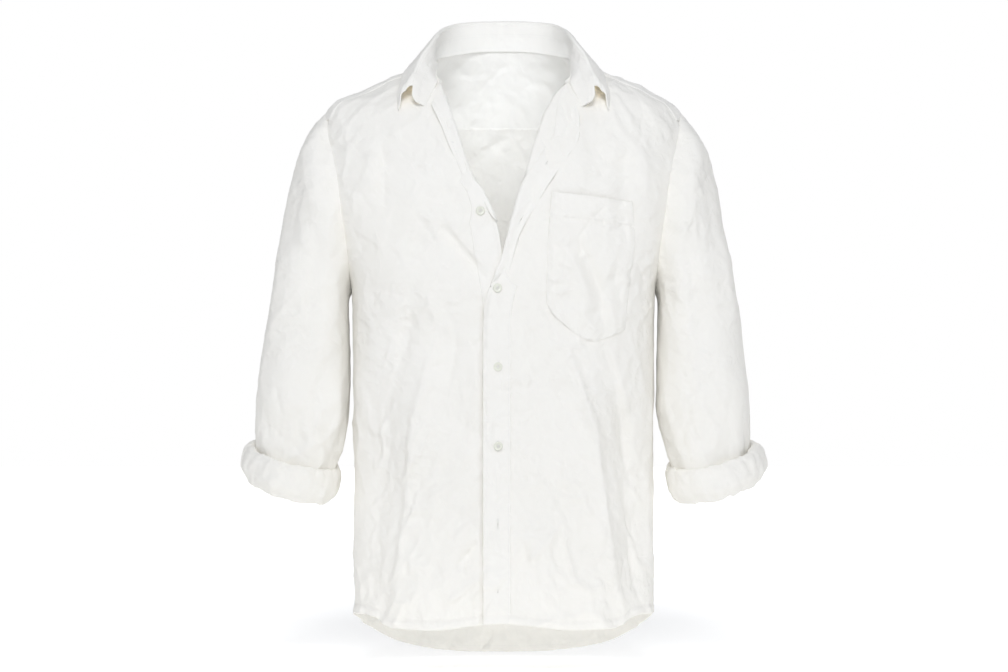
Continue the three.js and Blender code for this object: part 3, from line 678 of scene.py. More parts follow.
def mesh_object(name, points, faces, material, uv=None):
    """A smooth mesh of points in mm; faces are arrays of quads, of triangles or both."""
    mesh = bpy.data.meshes.new(name)
    loops = np.concatenate([f.ravel() for f in faces])
    sizes = np.concatenate([np.full(len(f), f.shape[1]) for f in faces])
    mesh.vertices.add(len(points))
    mesh.vertices.foreach_set("co", (points / 1000).ravel())
    mesh.loops.add(len(loops))
    mesh.loops.foreach_set("vertex_index", loops)
    mesh.polygons.add(len(sizes))
    mesh.polygons.foreach_set("loop_start", running(sizes)[:-1])
    mesh.polygons.foreach_set("loop_total", sizes)
    mesh.polygons.foreach_set("use_smooth", np.ones(len(sizes), bool))
    if uv is not None:
        layer = mesh.uv_layers.new(name="weave")
        layer.data.foreach_set("uv", (uv[loops] / 1000).ravel())
    mesh.update(calc_edges=True)
    mesh.materials.append(material)
    return linked(name, mesh)


def linked(name, data):
    made = bpy.data.objects.new(name, data)
    scene.collection.objects.link(made)
    return made


def declare(piece, node_name=None):
    """The piece rides on the one body, and stands in for a node of the CAD where it has one."""
    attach(piece, "root")
    if node_name:
        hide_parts(node_name)
    return piece


def quads_of(index):
    return np.stack([index[:-1, :-1], index[:-1, 1:], index[1:, 1:], index[1:, :-1]], -1).reshape(-1, 4)


def weave_map(u, v):
    return np.stack(np.broadcast_arrays(u[None, :], v[:, None]), -1).reshape(-1, 2)


def shell(node_name, grid, outer, thickness, material, loop=False):
    """A closed thin wall round a grid of middle points, its open edges rounded."""
    rows, cols = grid.shape[:2]
    count = rows * cols
    normal = normals_of(grid, loop) * outer
    half = np.broadcast_to(np.asarray(thickness, float) / 2, (rows, cols))[..., None]
    step_u, step_v = (np.linalg.norm(np.diff(grid, axis=axis), axis=2).mean(1 - axis) for axis in (1, 0))
    uv = weave_map(running(step_u), running(step_v))
    index = np.arange(count).reshape(rows, cols)
    quads = quads_of(np.append(index, index[:, :1], 1) if loop else index)
    faces = [quads, quads[:, ::-1] + count]
    past = np.zeros((rows, cols, 3))
    past[0] += unit(grid[0] - grid[1])
    past[-1] += unit(grid[-1] - grid[-2])
    if loop:
        rims = [(index[0], 1), (index[-1], -1)]
    else:
        past[:, 0] += unit(grid[:, 0] - grid[:, 1])
        past[:, -1] += unit(grid[:, -1] - grid[:, -2])
        rims = [(np.concatenate([index[0, :-1], index[:-1, -1], index[-1, :0:-1], index[:0:-1, 0]]), 1)]
    points = [(grid + normal * half).reshape(-1, 3), (grid - normal * half).reshape(-1, 3)]
    uvs = [uv, uv]
    for rim, way in rims:
        lip = sum(len(p) for p in points) + np.arange(len(rim))
        points.append(grid.reshape(-1, 3)[rim] + (past * half).reshape(-1, 3)[rim] * 0.9)
        uvs.append(uv[rim])
        next_rim, next_lip = np.roll(rim, -1), np.roll(lip, -1)
        band = [
            np.stack([next_rim, rim, lip, next_lip], -1),
            np.stack([next_lip, lip, rim + count, next_rim + count], -1),
        ]
        faces += [face[:, ::way] for face in band]
    quads = np.concatenate(faces)[:, ::outer]
    piece = mesh_object(f"{node_name}_cloth", np.concatenate(points), [quads], material, np.concatenate(uvs))
    return declare(piece, node_name)


def from_edge(grid, axis, last=False):
    """Distance in mm of every grid point from one of its borders."""
    steps = np.linalg.norm(np.diff(grid, axis=axis), axis=2)
    if last:
        steps = np.flip(steps, axis)
    first = np.zeros_like(np.take(steps, [0], axis))
    marks = np.cumsum(np.concatenate([first, steps], axis), axis)
    return np.flip(marks, axis) if last else marks


def settled(grid, outer, lift=0.0, amount=1.0, loop=False):
    """The grid with its small folds, and moved out by lift."""
    normal = normals_of(grid, loop) * outer
    amount = amount * (1 - 0.6 * normal[..., 0] ** 8)
    return grid + normal * (relief(grid) * amount + lift)[..., None]


def hem_lift(grid, deep):
    """The hem stands out by deep, with a groove above it, and puckers along its stitches and its fold."""
    away = from_edge(grid, 0, True)
    pucker = noise(grid * (1, 1, 0.2), 4.6, 3.3) * (bell(away - HEM_WIDTH, 5) + 0.8 * bell(away, 4))
    groove = 0.9 * bell(away - HEM_WIDTH - 1.2, 2.4)
    return deep * (1 - smooth(away, HEM_WIDTH - 0.8, HEM_WIDTH + 0.8)) + 0.75 * pucker - groove


def hem_thickness(grid):
    """One layer of cloth, and more where the hem is turned up."""
    return SINGLE + 1.3 * (1 - smooth(from_edge(grid, 0, True), HEM_WIDTH - 1.4, HEM_WIDTH + 0.4))


# ---------------- materials


def node(tree, kind, *inputs, **values):
    """A shader node with its settings and sockets by name or order; an output given as a value is linked."""
    made = tree.nodes.new(f"ShaderNode{kind}")
    for key, value in [*values.items(), *enumerate(inputs)]:
        if isinstance(key, str) and hasattr(made, key):
            setattr(made, key, value)
        else:
            plug(tree, made.inputs[key.replace("_", " ") if isinstance(key, str) else key], value)
    return made


def plug(tree, socket, value):
    if isinstance(value, bpy.types.NodeSocket):
        tree.links.new(value, socket)
    else:
        socket.default_value = value


def math_node(tree, operation, *inputs):
    return node(tree, "Math", *inputs, operation=operation).outputs[0]


def spread_out(tree, value, low, high, to_low=0.0, to_high=1.0):
    """The value mapped from low..high to to_low..to_high, and held there."""
    made = node(tree, "MapRange", Value=value, From_Min=low, From_Max=high, To_Min=to_low, To_Max=to_high)
    return made.outputs["Result"]


def mixed(tree, share, first, second):
    made = node(tree, "Mix", data_type="RGBA", Factor=share, A=(*first, 1), B=(*second, 1))
    return made.outputs["Result"]


def new_material(name, **values):
    """A material with values on its surface shader; also its tree, that shader and the object's place."""
    material = bpy.data.materials.new(name)
    material.use_nodes = True
    tree = material.node_tree
    surface = tree.nodes["Principled BSDF"].inputs
    for key, value in values.items():
        surface[key.replace("_", " ")].default_value = value
    return material, tree, surface, node(tree, "TexCoord").outputs


WEAVE, DRIFT = 0.00042, 0.016  # metres: a pair of threads, and how far the crumple's cells wander


def cotton(name, colour, shade, crisp=1.0):
    """Washed plain weave: threads over and under, fine crumple in the bump, a faint warm cast."""
    material, tree, surface, place = new_material(
        name, Roughness=0.88, Specular_IOR_Level=0.22, Sheen_Weight=0.12, Sheen_Roughness=0.45
    )
    spot = place["Object"]
    tone = node(tree, "TexNoise", Vector=spot, Scale=9.0, Detail=5.0, Roughness=0.6)
    share = spread_out(tree, tone.outputs["Fac"], 0.3, 0.62)
    plug(tree, surface["Base Color"], mixed(tree, share, shade, colour))

    fine = node(
        tree, "TexNoise", noise_type="RIDGED_MULTIFRACTAL",
        Vector=spot, Scale=75.0, Detail=4.0, Roughness=0.55, Distortion=0.9,
    )
    folds = node(tree, "Bump", Strength=0.6 * crisp, Distance=0.0012, Height=fine.outputs["Fac"])
    drift = node(tree, "TexNoise", Vector=spot, Scale=28.0, Detail=2.0)
    drifting = (drift.outputs["Color"], (DRIFT, DRIFT, DRIFT), spot)
    bent = node(tree, "VectorMath", *drifting, operation="MULTIPLY_ADD").outputs["Vector"]
    patch = node(tree, "TexNoise", Vector=spot, Scale=11.0, Detail=1.0)
    worn = spread_out(tree, patch.outputs["Fac"], 0.42, 0.66, 0.3)
    for scale, depth in ((48.0, 0.0024), (95.0, 0.001)):
        cells = node(tree, "TexVoronoi", Vector=bent, Scale=scale)
        height = math_node(tree, "MULTIPLY", cells.outputs["Distance"], worn)
        under = folds.outputs["Normal"]
        folds = node(tree, "Bump", Strength=crisp, Distance=depth, Height=height, Normal=under)

    across = node(tree, "SeparateXYZ", Vector=place["UV"]).outputs
    threads = [
        math_node(tree, "SINE", math_node(tree, "MULTIPLY_ADD", across[axis], 2 * math.pi / WEAVE, shift))
        for axis, shift in (("X", 0.0), ("Y", math.pi / 2))
    ]
    weave = node(
        tree, "Bump", Strength=0.25, Distance=0.00008,
        Height=math_node(tree, "MULTIPLY", *threads), Normal=folds.outputs["Normal"],
    )
    plug(tree, surface["Normal"], weave.outputs["Normal"])
    return material


def plain(name, colour, roughness, coat=0.0):
    """One colour, a little darker in fine specks."""
    material, tree, surface, place = new_material(name, Roughness=roughness, Coat_Weight=coat)
    tone = node(tree, "TexNoise", Vector=place["Object"], Scale=240.0, Detail=3.0)
    darker = [c * 0.86 for c in colour]
    plug(tree, surface["Base Color"], mixed(tree, tone.outputs["Fac"], darker, colour))
    return material


COTTON = cotton("cotton", (0.957, 0.937, 0.882), (0.94, 0.919, 0.859))
COTTON_THICK = cotton("cotton_layers", (0.963, 0.944, 0.893), (0.946, 0.926, 0.87), crisp=0.6)
THREAD = plain("thread", (0.95, 0.94, 0.9), 0.7)
# painted shade: the dark of the buttonholes' openings
SLIT_SHADE = plain("buttonhole_slit_shade", (0.45, 0.43, 0.36), 0.9)
SHELL_BUTTON = plain("shell_button", (0.9, 0.9, 0.79), 0.28, coat=0.4)

# ---------------- stitches


class Stitches:
    """Runs of thread, each stitch a small spindle, joined into one mesh for each piece."""

    SIDES = 5
    STATIONS = ((-0.5, 0.25), (-0.3, 0.9), (0.3, 0.9), (0.5, 0.25))  # place along the stitch, width

    def __init__(self):
        self.points, self.quads = [], []
        self.count = 0

    def run(self, path, normals, length=2.5, gap=0.9, radius=0.26, rise=0.12):
        """Stitches along a path of points in mm, on the side that the normals point to."""
        curve = Curve(path)
        number = max(1, int(curve.length / (length + gap)))
        starts = (np.arange(number) + 0.5) * curve.length / number
        middle = curve.at(starts)
        facing = np.stack([np.interp(starts, curve.marks, normals[:, k]) for k in range(3)], -1)
        along = unit(curve.at(starts + 0.6) - curve.at(starts - 0.6))
        side = unit(np.cross(along, facing))
        up = unit(np.cross(side, along))
        turns = [2 * math.pi * k / self.SIDES for k in range(self.SIDES)]
        ring_points = []
        for station, wide in self.STATIONS:
            dip = rise - (abs(station) * 2) ** 3 * 0.3
            centre = middle + along * station * length + up * dip
            ring_points += [centre + (side * math.cos(a) + up * math.sin(a)) * radius * wide for a in turns]
        self.points.append(np.stack(ring_points, 1).reshape(-1, 3))
        first = self.count + np.arange(number)[:, None] * len(ring_points)
        for ring in range(len(self.STATIONS) - 1):
            for k in range(self.SIDES):
                a, b = ring * self.SIDES + k, ring * self.SIDES + (k + 1) % self.SIDES
                self.quads.append(first + np.array([[a, b, b + self.SIDES, a + self.SIDES]]))
        self.count += number * len(ring_points)

    def make(self, name):
        return declare(mesh_object(name, np.concatenate(self.points), [np.concatenate(self.quads)], THREAD))


def on_grid(grid, rows, cols, thickness, outer):
    """Points on a shell's outer face and their normals, at fractional rows and columns."""
    normal = normals_of(grid) * outer
    face = grid + normal * thickness / 2
    rows, cols = np.broadcast_arrays(np.asarray(rows, float), np.asarray(cols, float))
    i = np.clip(rows.astype(int), 0, grid.shape[0] - 2)
    j = np.clip(cols.astype(int), 0, grid.shape[1] - 2)
    f, g = (rows - i)[:, None], (cols - j)[:, None]

    def blend(values):
        upper = lerp(values[i, j], values[i, j + 1], g)
        return lerp(upper, lerp(values[i + 1, j], values[i + 1, j + 1], g), f)

    return blend(face), unit(blend(normal))


def column_at(grid, distance, last=False):
    """Fractional column of each row that lies a distance in mm from its first or last point."""
    order = slice(None, None, -1 if last else 1)
    columns = np.arange(grid.shape[1])[order]
    return np.array([np.interp(distance, row[order], columns) for row in from_edge(grid, 1, last)])


def row_at(grid, distance, last=False):
    return column_at(grid.transpose(1, 0, 2), distance, last)


def sew_down(key, thickness, inset, last=False, part=slice(None), inside=False):
    """A seam that runs down a piece at an inset in mm from one of its side edges."""
    grid, outer = grids[key]
    rows = np.arange(grid.shape[0])[part]
    face = -outer if inside else outer
    stitches.run(*on_grid(grid, rows, column_at(grid, inset, last)[part], thickness, face))


def sew_across(key, thickness, inset, last=False, inside=False):
    """A seam that runs across a piece at an inset in mm from its top or foot."""
    grid, outer = grids[key]
    cols = np.arange(1, grid.shape[1] - 1)
    face = -outer if inside else outer
    stitches.run(*on_grid(grid, row_at(grid, inset, last)[1:-1], cols, thickness, face))


# ---------------- fronts, bands and back

stitches = Stitches()
pieces, grids = {}, {}
HANDS = ((-1, "right"), (1, "left"))
FOLD_SEAM, EDGE_SEAM = 4.5, 2.2  # insets of the stitching on the strips, and on the pocket
# Rows of the grids: a strip's turned-back part, a front beside its armhole, the yoke behind the shoulders
TURNED, BY_ARMHOLE, BEHIND = slice(140), slice(26, 126), slice(34, -34)


def dress(key, made, thickness, material, loop=False):
    """Builds the shell of one piece, and keeps it and its grid under its node's name."""
    grid, outer = grids[key] = made
    thickness = thickness(grid) if callable(thickness) else thickness
    pieces[key] = shell(key, grid, outer, thickness, material, loop)


def front_panel(hand):
    """The cloth of one front, from beside its strip to the side seam and the armhole."""
    front = fronts[hand]
    levels = np.concatenate([np.linspace(19, -300, 128), np.linspace(-302.6, SIDE_LEVEL, 150)])
    grid = []
    for level in levels:
        base, _, width, _, radius = front.row(level)
        if level > front.top:
            start = lerp(0.6, 2.6, float(smooth(level, -13, -6)))
        else:
            start = max(BAND - width - 2.5, -42 if hand > 0 else 0.3)
        end = base.length + (math.pi / 2 - 1) * radius + 0.8
        grid.append(front.points(spread(start, end, 100, extra=2.0), level))
    grid = np.array(grid)
    outer = outer_sign(grid)
    lift = hem_lift(grid, deep=0.5)
    lift = lift - 0.6 * (1 - smooth(from_edge(grid, 1), 1.2, 2.5)) * smooth(-levels, 20, 40)[:, None]
    if hand < 0:  # sunk beside the placket that laps over it
        beside = grid[..., 0] - inner_edges[1]("x", grid[..., 2])
        depth = 2.7 + 0.9 * noise(grid * (0.2, 0.2, 1), 21, 3.4)
        lift = lift - depth * bell(beside - 0.6, 4.4) * smooth(-grid[..., 2], 262, 284)
    return settled(grid, outer, lift), outer


def front_strip(hand):
    """The button band or the placket, with its turned-back part."""
    front = fronts[hand]
    levels = np.concatenate([np.linspace(front.top, -290, 150), np.linspace(-292, SIDE_LEVEL, 200)])
    grid = []
    for level in levels:
        width = front.row(level)[2]
        grid.append(front.points(spread(-width, BAND - width, 26, close=5, extra=1.2), level))
    grid = np.array(grid)
    outer = outer_sign(grid[-60:])
    inner, far = from_edge(grid, 1), from_edge(grid, 1, last=True)
    deep = -levels[:, None]
    # puckered along both seams, rumpled across
    stitched = bell(far - EDGE_SEAM - 0.3, 2.4) + bell(inner - FOLD_SEAM, 2.4)
    pucker = noise(grid * (0.3, 0.3, 1), 4.4, 6.1)
    lift = hem_lift(grid, deep=0.6) + 0.35 + 0.5 * stitched * (pucker - 0.3)
    across = noise(grid * (0.16, 0.16, 1), 6.5, 8.8)
    lift = lift + 0.75 * across * smooth(-levels, 270, 330)[:, None]
    # the turned-back part curls at its fold and lies close on the chest
    turned = 1 - smooth(inner, 0, 26)
    open_part = smooth(levels, -262, -200)[:, None]
    lift = lift + open_part * turned * 1.4 * noise(grid * (0.2, 0.2, 1), 24, 4.4)
    lift = lift - 1.7 * open_part * (1 - smooth(inner, 0.5, 8))
    if hand > 0:  # the placket's free edge stands off the band below
        curl = 4.2 * smooth(deep, 279, 294) * (1 - smooth(deep, 300, 385)) + 0.8 * smooth(deep, 300, 385)
        lift = lift + curl * smooth(inner, 0, 6.5) * (1 - smooth(inner, 9, 27))
        free = bell(inner, 5) * smooth(deep, 285, 320)
        lift = lift + free * (0.1 + 0.9 * noise(grid * (0.1, 0.1, 1), 17, 1.4))
    return settled(grid, outer, lift), outer


def back_panel():
    """The back, from just under the yoke's seam to the tail."""
    levels = np.linspace(BACK_SEAM, SIDE_LEVEL, 224)
    grid = []
    for level in levels:
        end = 180 - edge_turn(level, True) + 0.25
        turns = 180 + np.linspace(-end, end, 150)
        drop = back_drop(skin(turns, level)[:, 0]) * hem_fade(level)
        under_yoke = -0.1 * smooth(level, BACK_SEAM - 4, BACK_SEAM - 1)
        grid.append(skin(turns, level - drop, under_yoke))
    grid = np.array(grid)
    outer = outer_sign(grid)
    side = np.minimum(from_edge(grid, 1), from_edge(grid, 1, last=True))
    lift = hem_lift(grid, deep=0.4) - 0.4 * (1 - smooth(side, 1.5, 4)) * smooth(-levels, 280, 300)[:, None]
    return settled(grid, outer, lift), outer


def yoke_panel():
    """One shoulder from its front seam round to the middle of the back, and its mirror image."""
    turns = np.concatenate([np.linspace(YOKE_TURN - 0.5, 100, 34), np.linspace(101, 180, 60)])
    foot = Table("turn level", [
        (82.5, -60), (84, -60.5), (86, -60), (87.3, -56), (88.5, -51.5), (90, -48.4), (92, -52), (93.5, -57),
        (95.5, -61), (97, -64.3), (101, -65.6), (181, -65.6),
    ])
    half = np.array([
        skin(turn, np.linspace(float(foot("level", turn)), float(neck("level", turn)) - 0.4, 44))
        for turn in turns
    ])
    grid = np.concatenate([half, half[:-1][::-1] * (-1, 1, 1)])
    outer = outer_sign(grid)
    return settled(grid, outer, 0.2), outer


def yoke_thickness(grid):
    return YOKE_LAYERS + 0.3 * smooth(from_edge(grid, 1), 0, 14)


for hand, word in HANDS:
    dress(f"front_{word}", front_panel(hand), hem_thickness, COTTON)
for hand, key in ((-1, "button_band"), (1, "buttonhole_placket")):
    dress(key, front_strip(hand), BAND_FOLD, COTTON_THICK)
    for inset, last in ((FOLD_SEAM, False), (EDGE_SEAM, True)):
        sew_down(key, BAND_FOLD, inset, last, slice(None, -1))
        sew_down(key, BAND_FOLD, inset, last, TURNED, inside=True)
dress("back", back_panel(), hem_thickness, COTTON)
dress("yoke", yoke_panel(), yoke_thickness, COTTON_THICK)

# ---------------- collar


def stations(t):
    """The collar's base line, top line and leaf edge at t from -9 to 9."""
    a = np.abs(t)
    flip = np.stack([np.where(t < 0, -1, 1), np.ones_like(t), np.ones_like(t)], -1)
    base = skin(collar("turn", a), collar("level", a), collar("lift", a))
    top, hem = (np.stack([collar(edge + axis, a) for axis in "XYZ"], -1) for edge in ("top", "hem"))
    return base * flip, top * flip, hem * flip


def collar_stand():
    """A band with rounded ends, from a little below the neck seam up to the leaf's fold."""
    t = 9 * np.sin(np.linspace(-1, 1, 260) * 1.2) / math.sin(1.2)
    base, top, _ = stations(t)
    rise = unit(top - base)
    base = base - rise * 2.6
    round_off = np.clip((np.abs(t) - 8.6) / 0.4, 0, 1)
    height = lerp(0.3, 1.0, np.maximum(0, 1 - round_off**2.4) ** (1 / 2.2))
    share = np.linspace(0, 1, 20)
    grid = base[:, None] + (top - base)[:, None] * (share[None] * height[:, None])[..., None]
    outer = outer_sign(grid)
    beside_seam = bell(share - 0.56, 0.2)[None]
    wave = noise(grid, 13, 2.2) * 0.7 + noise(grid, 5, 4.2) * (0.25 + 0.3 * beside_seam)
    ridge = 0.4 * bell(share - 0.56, 0.03)[None]
    return grid + normals_of(grid) * outer * (wave + ridge)[..., None], outer


def collar_leaf():
    """Over the stand's top in a tight roll, then down and outward to its edge."""
    t = np.linspace(-8.3, 8.3, 260)
    base, top, hem = stations(t)
    rise = unit(top - base)
    fall = hem - top
    out = unit(fall - rise * (fall * rise).sum(1, keepdims=True))
    start = top + rise * 0.4
    arch = smooth(np.abs(t), 6.6, 8.2)[:, None]
    wide, high = 2.2 + 2.3 * arch, 2.4 + 0.4 * arch
    angles = np.linspace(0, math.pi * 0.86, 9)
    roll = [start + out * wide * (1 - math.cos(a)) + rise * high * math.sin(a) for a in angles]
    end = roll[-1]
    down = []
    aside = np.sign(t)[:, None] * arch * (1, 0, 0)
    for s in np.linspace(0.04, 1, 22):
        swing = 5.0 * s / 0.2 * math.exp(1 - s / 0.2)
        down.append(end + (hem - end) * s + out * 4.7 * s * (1 - s) + aside * swing)
    roll = [p + aside * 1.8 * (k / 8) ** 1.5 for k, p in enumerate(roll)]
    grid = np.array(roll + down).transpose(1, 0, 2)
    outer = outer_sign(grid)
    wave = noise(grid, 15, 1.2) * 0.9 + noise(grid, 5, 9.2) * 0.42
    wave = wave + 0.35 * bell(from_edge(grid, 1, last=True) - 6, 3) * noise(grid, 4.4, 5.2)
    wave = wave * (1 - 0.8 * smooth(np.abs(t), 7, 8.2))[:, None]
    return grid + normals_of(grid) * outer * (wave * smooth(from_edge(grid, 1), 1, 9))[..., None], outer


dress("collar_stand", collar_stand(), STAND_LAYERS, COTTON_THICK)
grid, outer = grids["collar_stand"]
rows = np.linspace(3, grid.shape[0] - 4, 300)
for column in (10.2, 12.0, 2.6):
    stitches.run(*on_grid(grid, rows, column, STAND_LAYERS, -outer))
dress("collar_leaf", collar_leaf(), LEAF_LAYERS, COTTON_THICK)
sew_down("collar_leaf", LEAF_LAYERS, 6.0, True, slice(8, -8))

# ---------------- sleeves and rolled ends


def armhole_ring(turn):
    """The sleeve's first ring, on the body's edge, and one tucked in behind that edge."""
    level = (SHOULDER_TIP + UNDERARM) / 2 + (SHOULDER_TIP - UNDERARM) / 2 * np.cos(turn)
    x = armhole("out", level)
    behind = (np.sin(turn) < 0)[:, None]
    ring = np.where(behind, skin(turn_at(x, level, True), level), skin(turn_at(x, level), level))
    ring[:, 0] += 0.2 + 0.5 * (1 - np.cos(turn))
    inside = ring - unit(np.stack([ring[:, 0], 2.2 * ring[:, 1], 0 * ring[:, 2]], -1)) * 5.5
    return ring, inside


def sleeve_ring(turn, t):
    """A section of the sleeve, squarer towards its outer side."""
    across = np.cos(turn) / 2
    round_off = lerp(1.0, 0.76, smooth(np.cos(turn), -0.7, 0.2))
    out_x, in_x, out_z, in_z = (sleeve(name, t) for name in ("outX", "inX", "outZ", "inZ"))
    return np.stack([
        (out_x + in_x) / 2 + across * (out_x - in_x),
        -sleeve("depth", t) / 2 * np.sign(np.sin(turn)) * np.abs(np.sin(turn)) ** round_off,
        (out_z + in_z) / 2 + across * (out_z - in_z),
    ], -1)


def through(rings, t):
    """Points on centripetal curves through the rings, at ring numbers t."""
    rings = np.concatenate([2 * rings[:1] - rings[1:2], rings, 2 * rings[-1:] - rings[-2:-1]])
    i = np.minimum(t.astype(int), len(rings) - 4)
    p0, p1, p2, p3 = (rings[i + k] for k in range(4))
    gap = [np.linalg.norm(b - a, axis=-1, keepdims=True) ** 0.5 for a, b in ((p0, p1), (p1, p2), (p2, p3))]
    m1 = (p1 - p0) / gap[0] - (p2 - p0) / (gap[0] + gap[1]) + (p2 - p1) / gap[1]
    m2 = (p2 - p1) / gap[1] - (p3 - p1) / (gap[1] + gap[2]) + (p3 - p2) / gap[2]
    return hermite(p1, m1 * gap[1], p2, m2 * gap[1], (t - i)[:, None, None])


def sleeve_grid(hand):
    columns, steps, sections = 120, 168, 8
    turn = np.arange(columns) / columns * 2 * math.pi
    ring, inside = armhole_ring(turn)
    t = np.linspace(0, sections, steps + 1)
    grid = through(np.array([ring] + [sleeve_ring(turn, k) for k in range(1, sections + 1)]), t)
    share = (t / sections)[:, None]
    axis = np.stack(np.broadcast_arrays(lerp(213, 267, share), 0, lerp(-165, -500, share)), -1)
    radial = grid - axis
    radial[..., 2] = 0
    gather = smooth(share, 0.74, 0.97) * 1.5 * np.cos(7 * turn - 1 + 1.5 * np.sin(2 * turn))[None]
    grid = grid + unit(radial) * gather[..., None]
    # two more rows, tucked in behind the body's edge
    tuck = lerp(inside[None], ring[None], np.array([0.0, 0.5])[:, None, None])
    grid = np.concatenate([tuck, grid]) * (hand, 1, 1)
    axis, share = (np.concatenate([a[:1], a[:1], a]) for a in (axis, share))
    outer = outer_sign(grid, axis * (hand, 1, 1), loop=True)
    grid = settled(grid, outer, loop=True)
    head = bell(from_edge(grid, 0) - 3, 6) * noise(grid, 5.5, 3.9) * 0.5 * smooth(share, 0, 0.03)
    return grid + normals_of(grid, True) * outer * head[..., None], outer


CUFF_COLUMNS, CUFF_ROWS = 150, 56
CUFF_CENTRE, CUFF_RADIUS, CUFF_RISE = (276.3, 0, -516), 66, 46
CUFF_SLANT, CUFF_NOD = math.radians(15.5), 10


def cuff_grid(hand):
    """A thick turned-up roll, its section swept round the arm; the first row is repeated last."""
    turn = np.arange(CUFF_COLUMNS) / CUFF_COLUMNS * 360
    thick = Table("turn thick", [(0, 18), (60, 13), (90, 12), (135, 12), (180, 14)])
    around = np.linspace(0, 2 * math.pi, CUFF_ROWS + 1)[:-1]
    c, s = np.cos(around), np.sin(around)
    out = 0.44 + 0.56 * np.sign(c) * np.abs(c) ** 0.86
    up = 0.5 * np.sign(s) * np.abs(s) ** np.where(s < 0, 0.95, 0.84)
    inward = (1 - out)[:, None] * thick("thick", np.where(turn > 180, 360 - turn, turn))[None]
    inward = inward + (5.5 * smooth(-up, 0.12, 0.5) ** 1.2 + 1.5 * smooth(up, 0.3, 0.5))[:, None]
    ct, st = np.cos(np.radians(turn))[None], np.sin(np.radians(turn))[None]
    along = (CUFF_RADIUS + 0.5 - inward) * ct
    rise = (up * CUFF_RISE)[:, None]
    centre = np.array(CUFF_CENTRE) * (hand, 1, 1)
    grid = np.stack([
        centre[0] + hand * (along * math.cos(CUFF_SLANT) - rise * math.sin(CUFF_SLANT) * 0.6),
        -(CUFF_RADIUS - inward) * st,
        centre[2] + along * math.sin(CUFF_SLANT) + rise - CUFF_NOD * st,
    ], -1)
    grid = np.concatenate([grid, grid[:1]])
    normal = normals_of(grid, loop=True)
    normal[0] = normal[-1] = unit(normal[0] + normal[-1])
    outer = 1 if (normal[0] * (grid[0] - centre)).sum() > 0 else -1
    swirl = np.stack([grid[..., 0] + grid[..., 2] * 0.45 * hand, grid[..., 1], grid[..., 2] * 0.35], -1)
    wave = noise(swirl, 13, 6.6) * 2.0 + noise(swirl, 6, 2.6) * 1.2 + crumple(grid, 16, 1) * 1.9
    seam = bell(np.abs(np.radians(turn))[None] - 0.2, 0.06) * (np.append(c, c[0]) > 0)[:, None]
    return grid + normal * outer * (wave - 1.2 * seam)[..., None], outer


def cuff_roll(word, grid, outer):
    """The roll as one closed ring, without its repeated row."""
    index = np.arange(CUFF_ROWS * CUFF_COLUMNS).reshape(CUFF_ROWS, CUFF_COLUMNS)
    quads = quads_of(np.pad(index, (0, 1), "wrap"))[:, ::outer]
    uv = weave_map(np.arange(CUFF_COLUMNS) * 2.8, np.arange(CUFF_ROWS) * 2.0)
    piece = mesh_object(f"cuff_roll_{word}_cloth", grid[:-1].reshape(-1, 3), [quads], COTTON, uv)
    return declare(piece, f"cuff_roll_{word}")


for hand, word in HANDS:
    dress(f"sleeve_{word}", sleeve_grid(hand), SINGLE, COTTON, loop=True)
    pieces[f"cuff_roll_{word}"] = cuff_roll(word, *cuff_grid(hand))

# ---------------- pocket


def pocket_grid():
    """A patch with a pointed foot that stands off the chest, with a wide hem along its top."""
    down = np.linspace(0, 1, 84)[:, None]
    across = np.linspace(0, 1, 56)[None]
    point = 30 * (1 - np.abs(2 * across - 1.1) ** 1.4 / 1.2) * smooth(down, 0.5, 1)
    x = lerp(pocket("leftX", down), pocket("rightX", down), across)
    z = lerp(pocket("leftZ", down), pocket("rightZ", down), across) - point
    fill = np.sin(math.pi * across) * np.sin(math.pi * np.minimum(1, 0.25 + 0.75 * down))
    grid = skin(turn_at(x, z), z)
    outer = outer_sign(grid)
    down_from, left, right = from_edge(grid, 0), from_edge(grid, 1), from_edge(grid, 1, last=True)
    edge = np.minimum(np.minimum(left, right), from_edge(grid, 0, last=True))
    band = 1 - smooth(down_from, 29.5, 31)
    sewn = bell(edge - 2.4, 2.2) * (noise(grid, 4.6, 2.9) - 0.25)
    hem = bell(down_from - 30, 3) * (noise(grid * (1, 1, 0.2), 4.4, 7.9) - 0.3)
    raised = bell(left - 7, 4.5) + 0.7 * bell(right - 7, 4.5)
    lift = 0.75 + 3.2 * fill + 0.9 * band + 1.2 * sewn + 1.8 * hem + 1.7 * raised
    lift = lift + 1.0 * (1 - smooth(down_from, 0, 30)) * np.sin(math.pi * across)
    return settled(grid, outer, lift, amount=1.3), outer


dress("pocket", pocket_grid(), SINGLE, COTTON)
for last in (False, True):
    sew_down("pocket", SINGLE, EDGE_SEAM, last, slice(None, -2))
sew_across("pocket", SINGLE, EDGE_SEAM, True)
sew_across("pocket", SINGLE, 30)

# hems, yoke seams and armholes
for key in ("front_right", "front_left", "back"):
    for inside in (False, True):
        sew_across(key, HEM_FOLD, 7.6, True, inside)
sew_down("yoke", YOKE_LAYERS, 2.0, part=BEHIND)
grid, outer = grids["yoke"]
for row in (1.2, grid.shape[0] - 2.2):
    stitches.run(*on_grid(grid, row, np.linspace(1, grid.shape[1] - 2, 60), YOKE_LAYERS, outer))
for key in ("front_right", "front_left"):
    sew_down(key, SINGLE, 5.5, True, BY_ARMHOLE)
stitches.make("topstitching")

# ---------------- buttons and buttonholes


BUTTON_RADIUS = 5.7
HOLE_CIRCLE, HOLE_RADIUS = 0.0014, 0.00062  # of the thread holes, in metres
BUTTON_SECTION = [  # share of the radius, height in mm
    (0, -1.1), (0.7, -1.1), (0.9, -0.9), (1, -0.45), (1, 0.35), (0.96, 0.8), (0.88, 1.08), (0.8, 1.1),
    (0.72, 0.86), (0.6, 0.62), (0.35, 0.52), (0, 0.5),
]
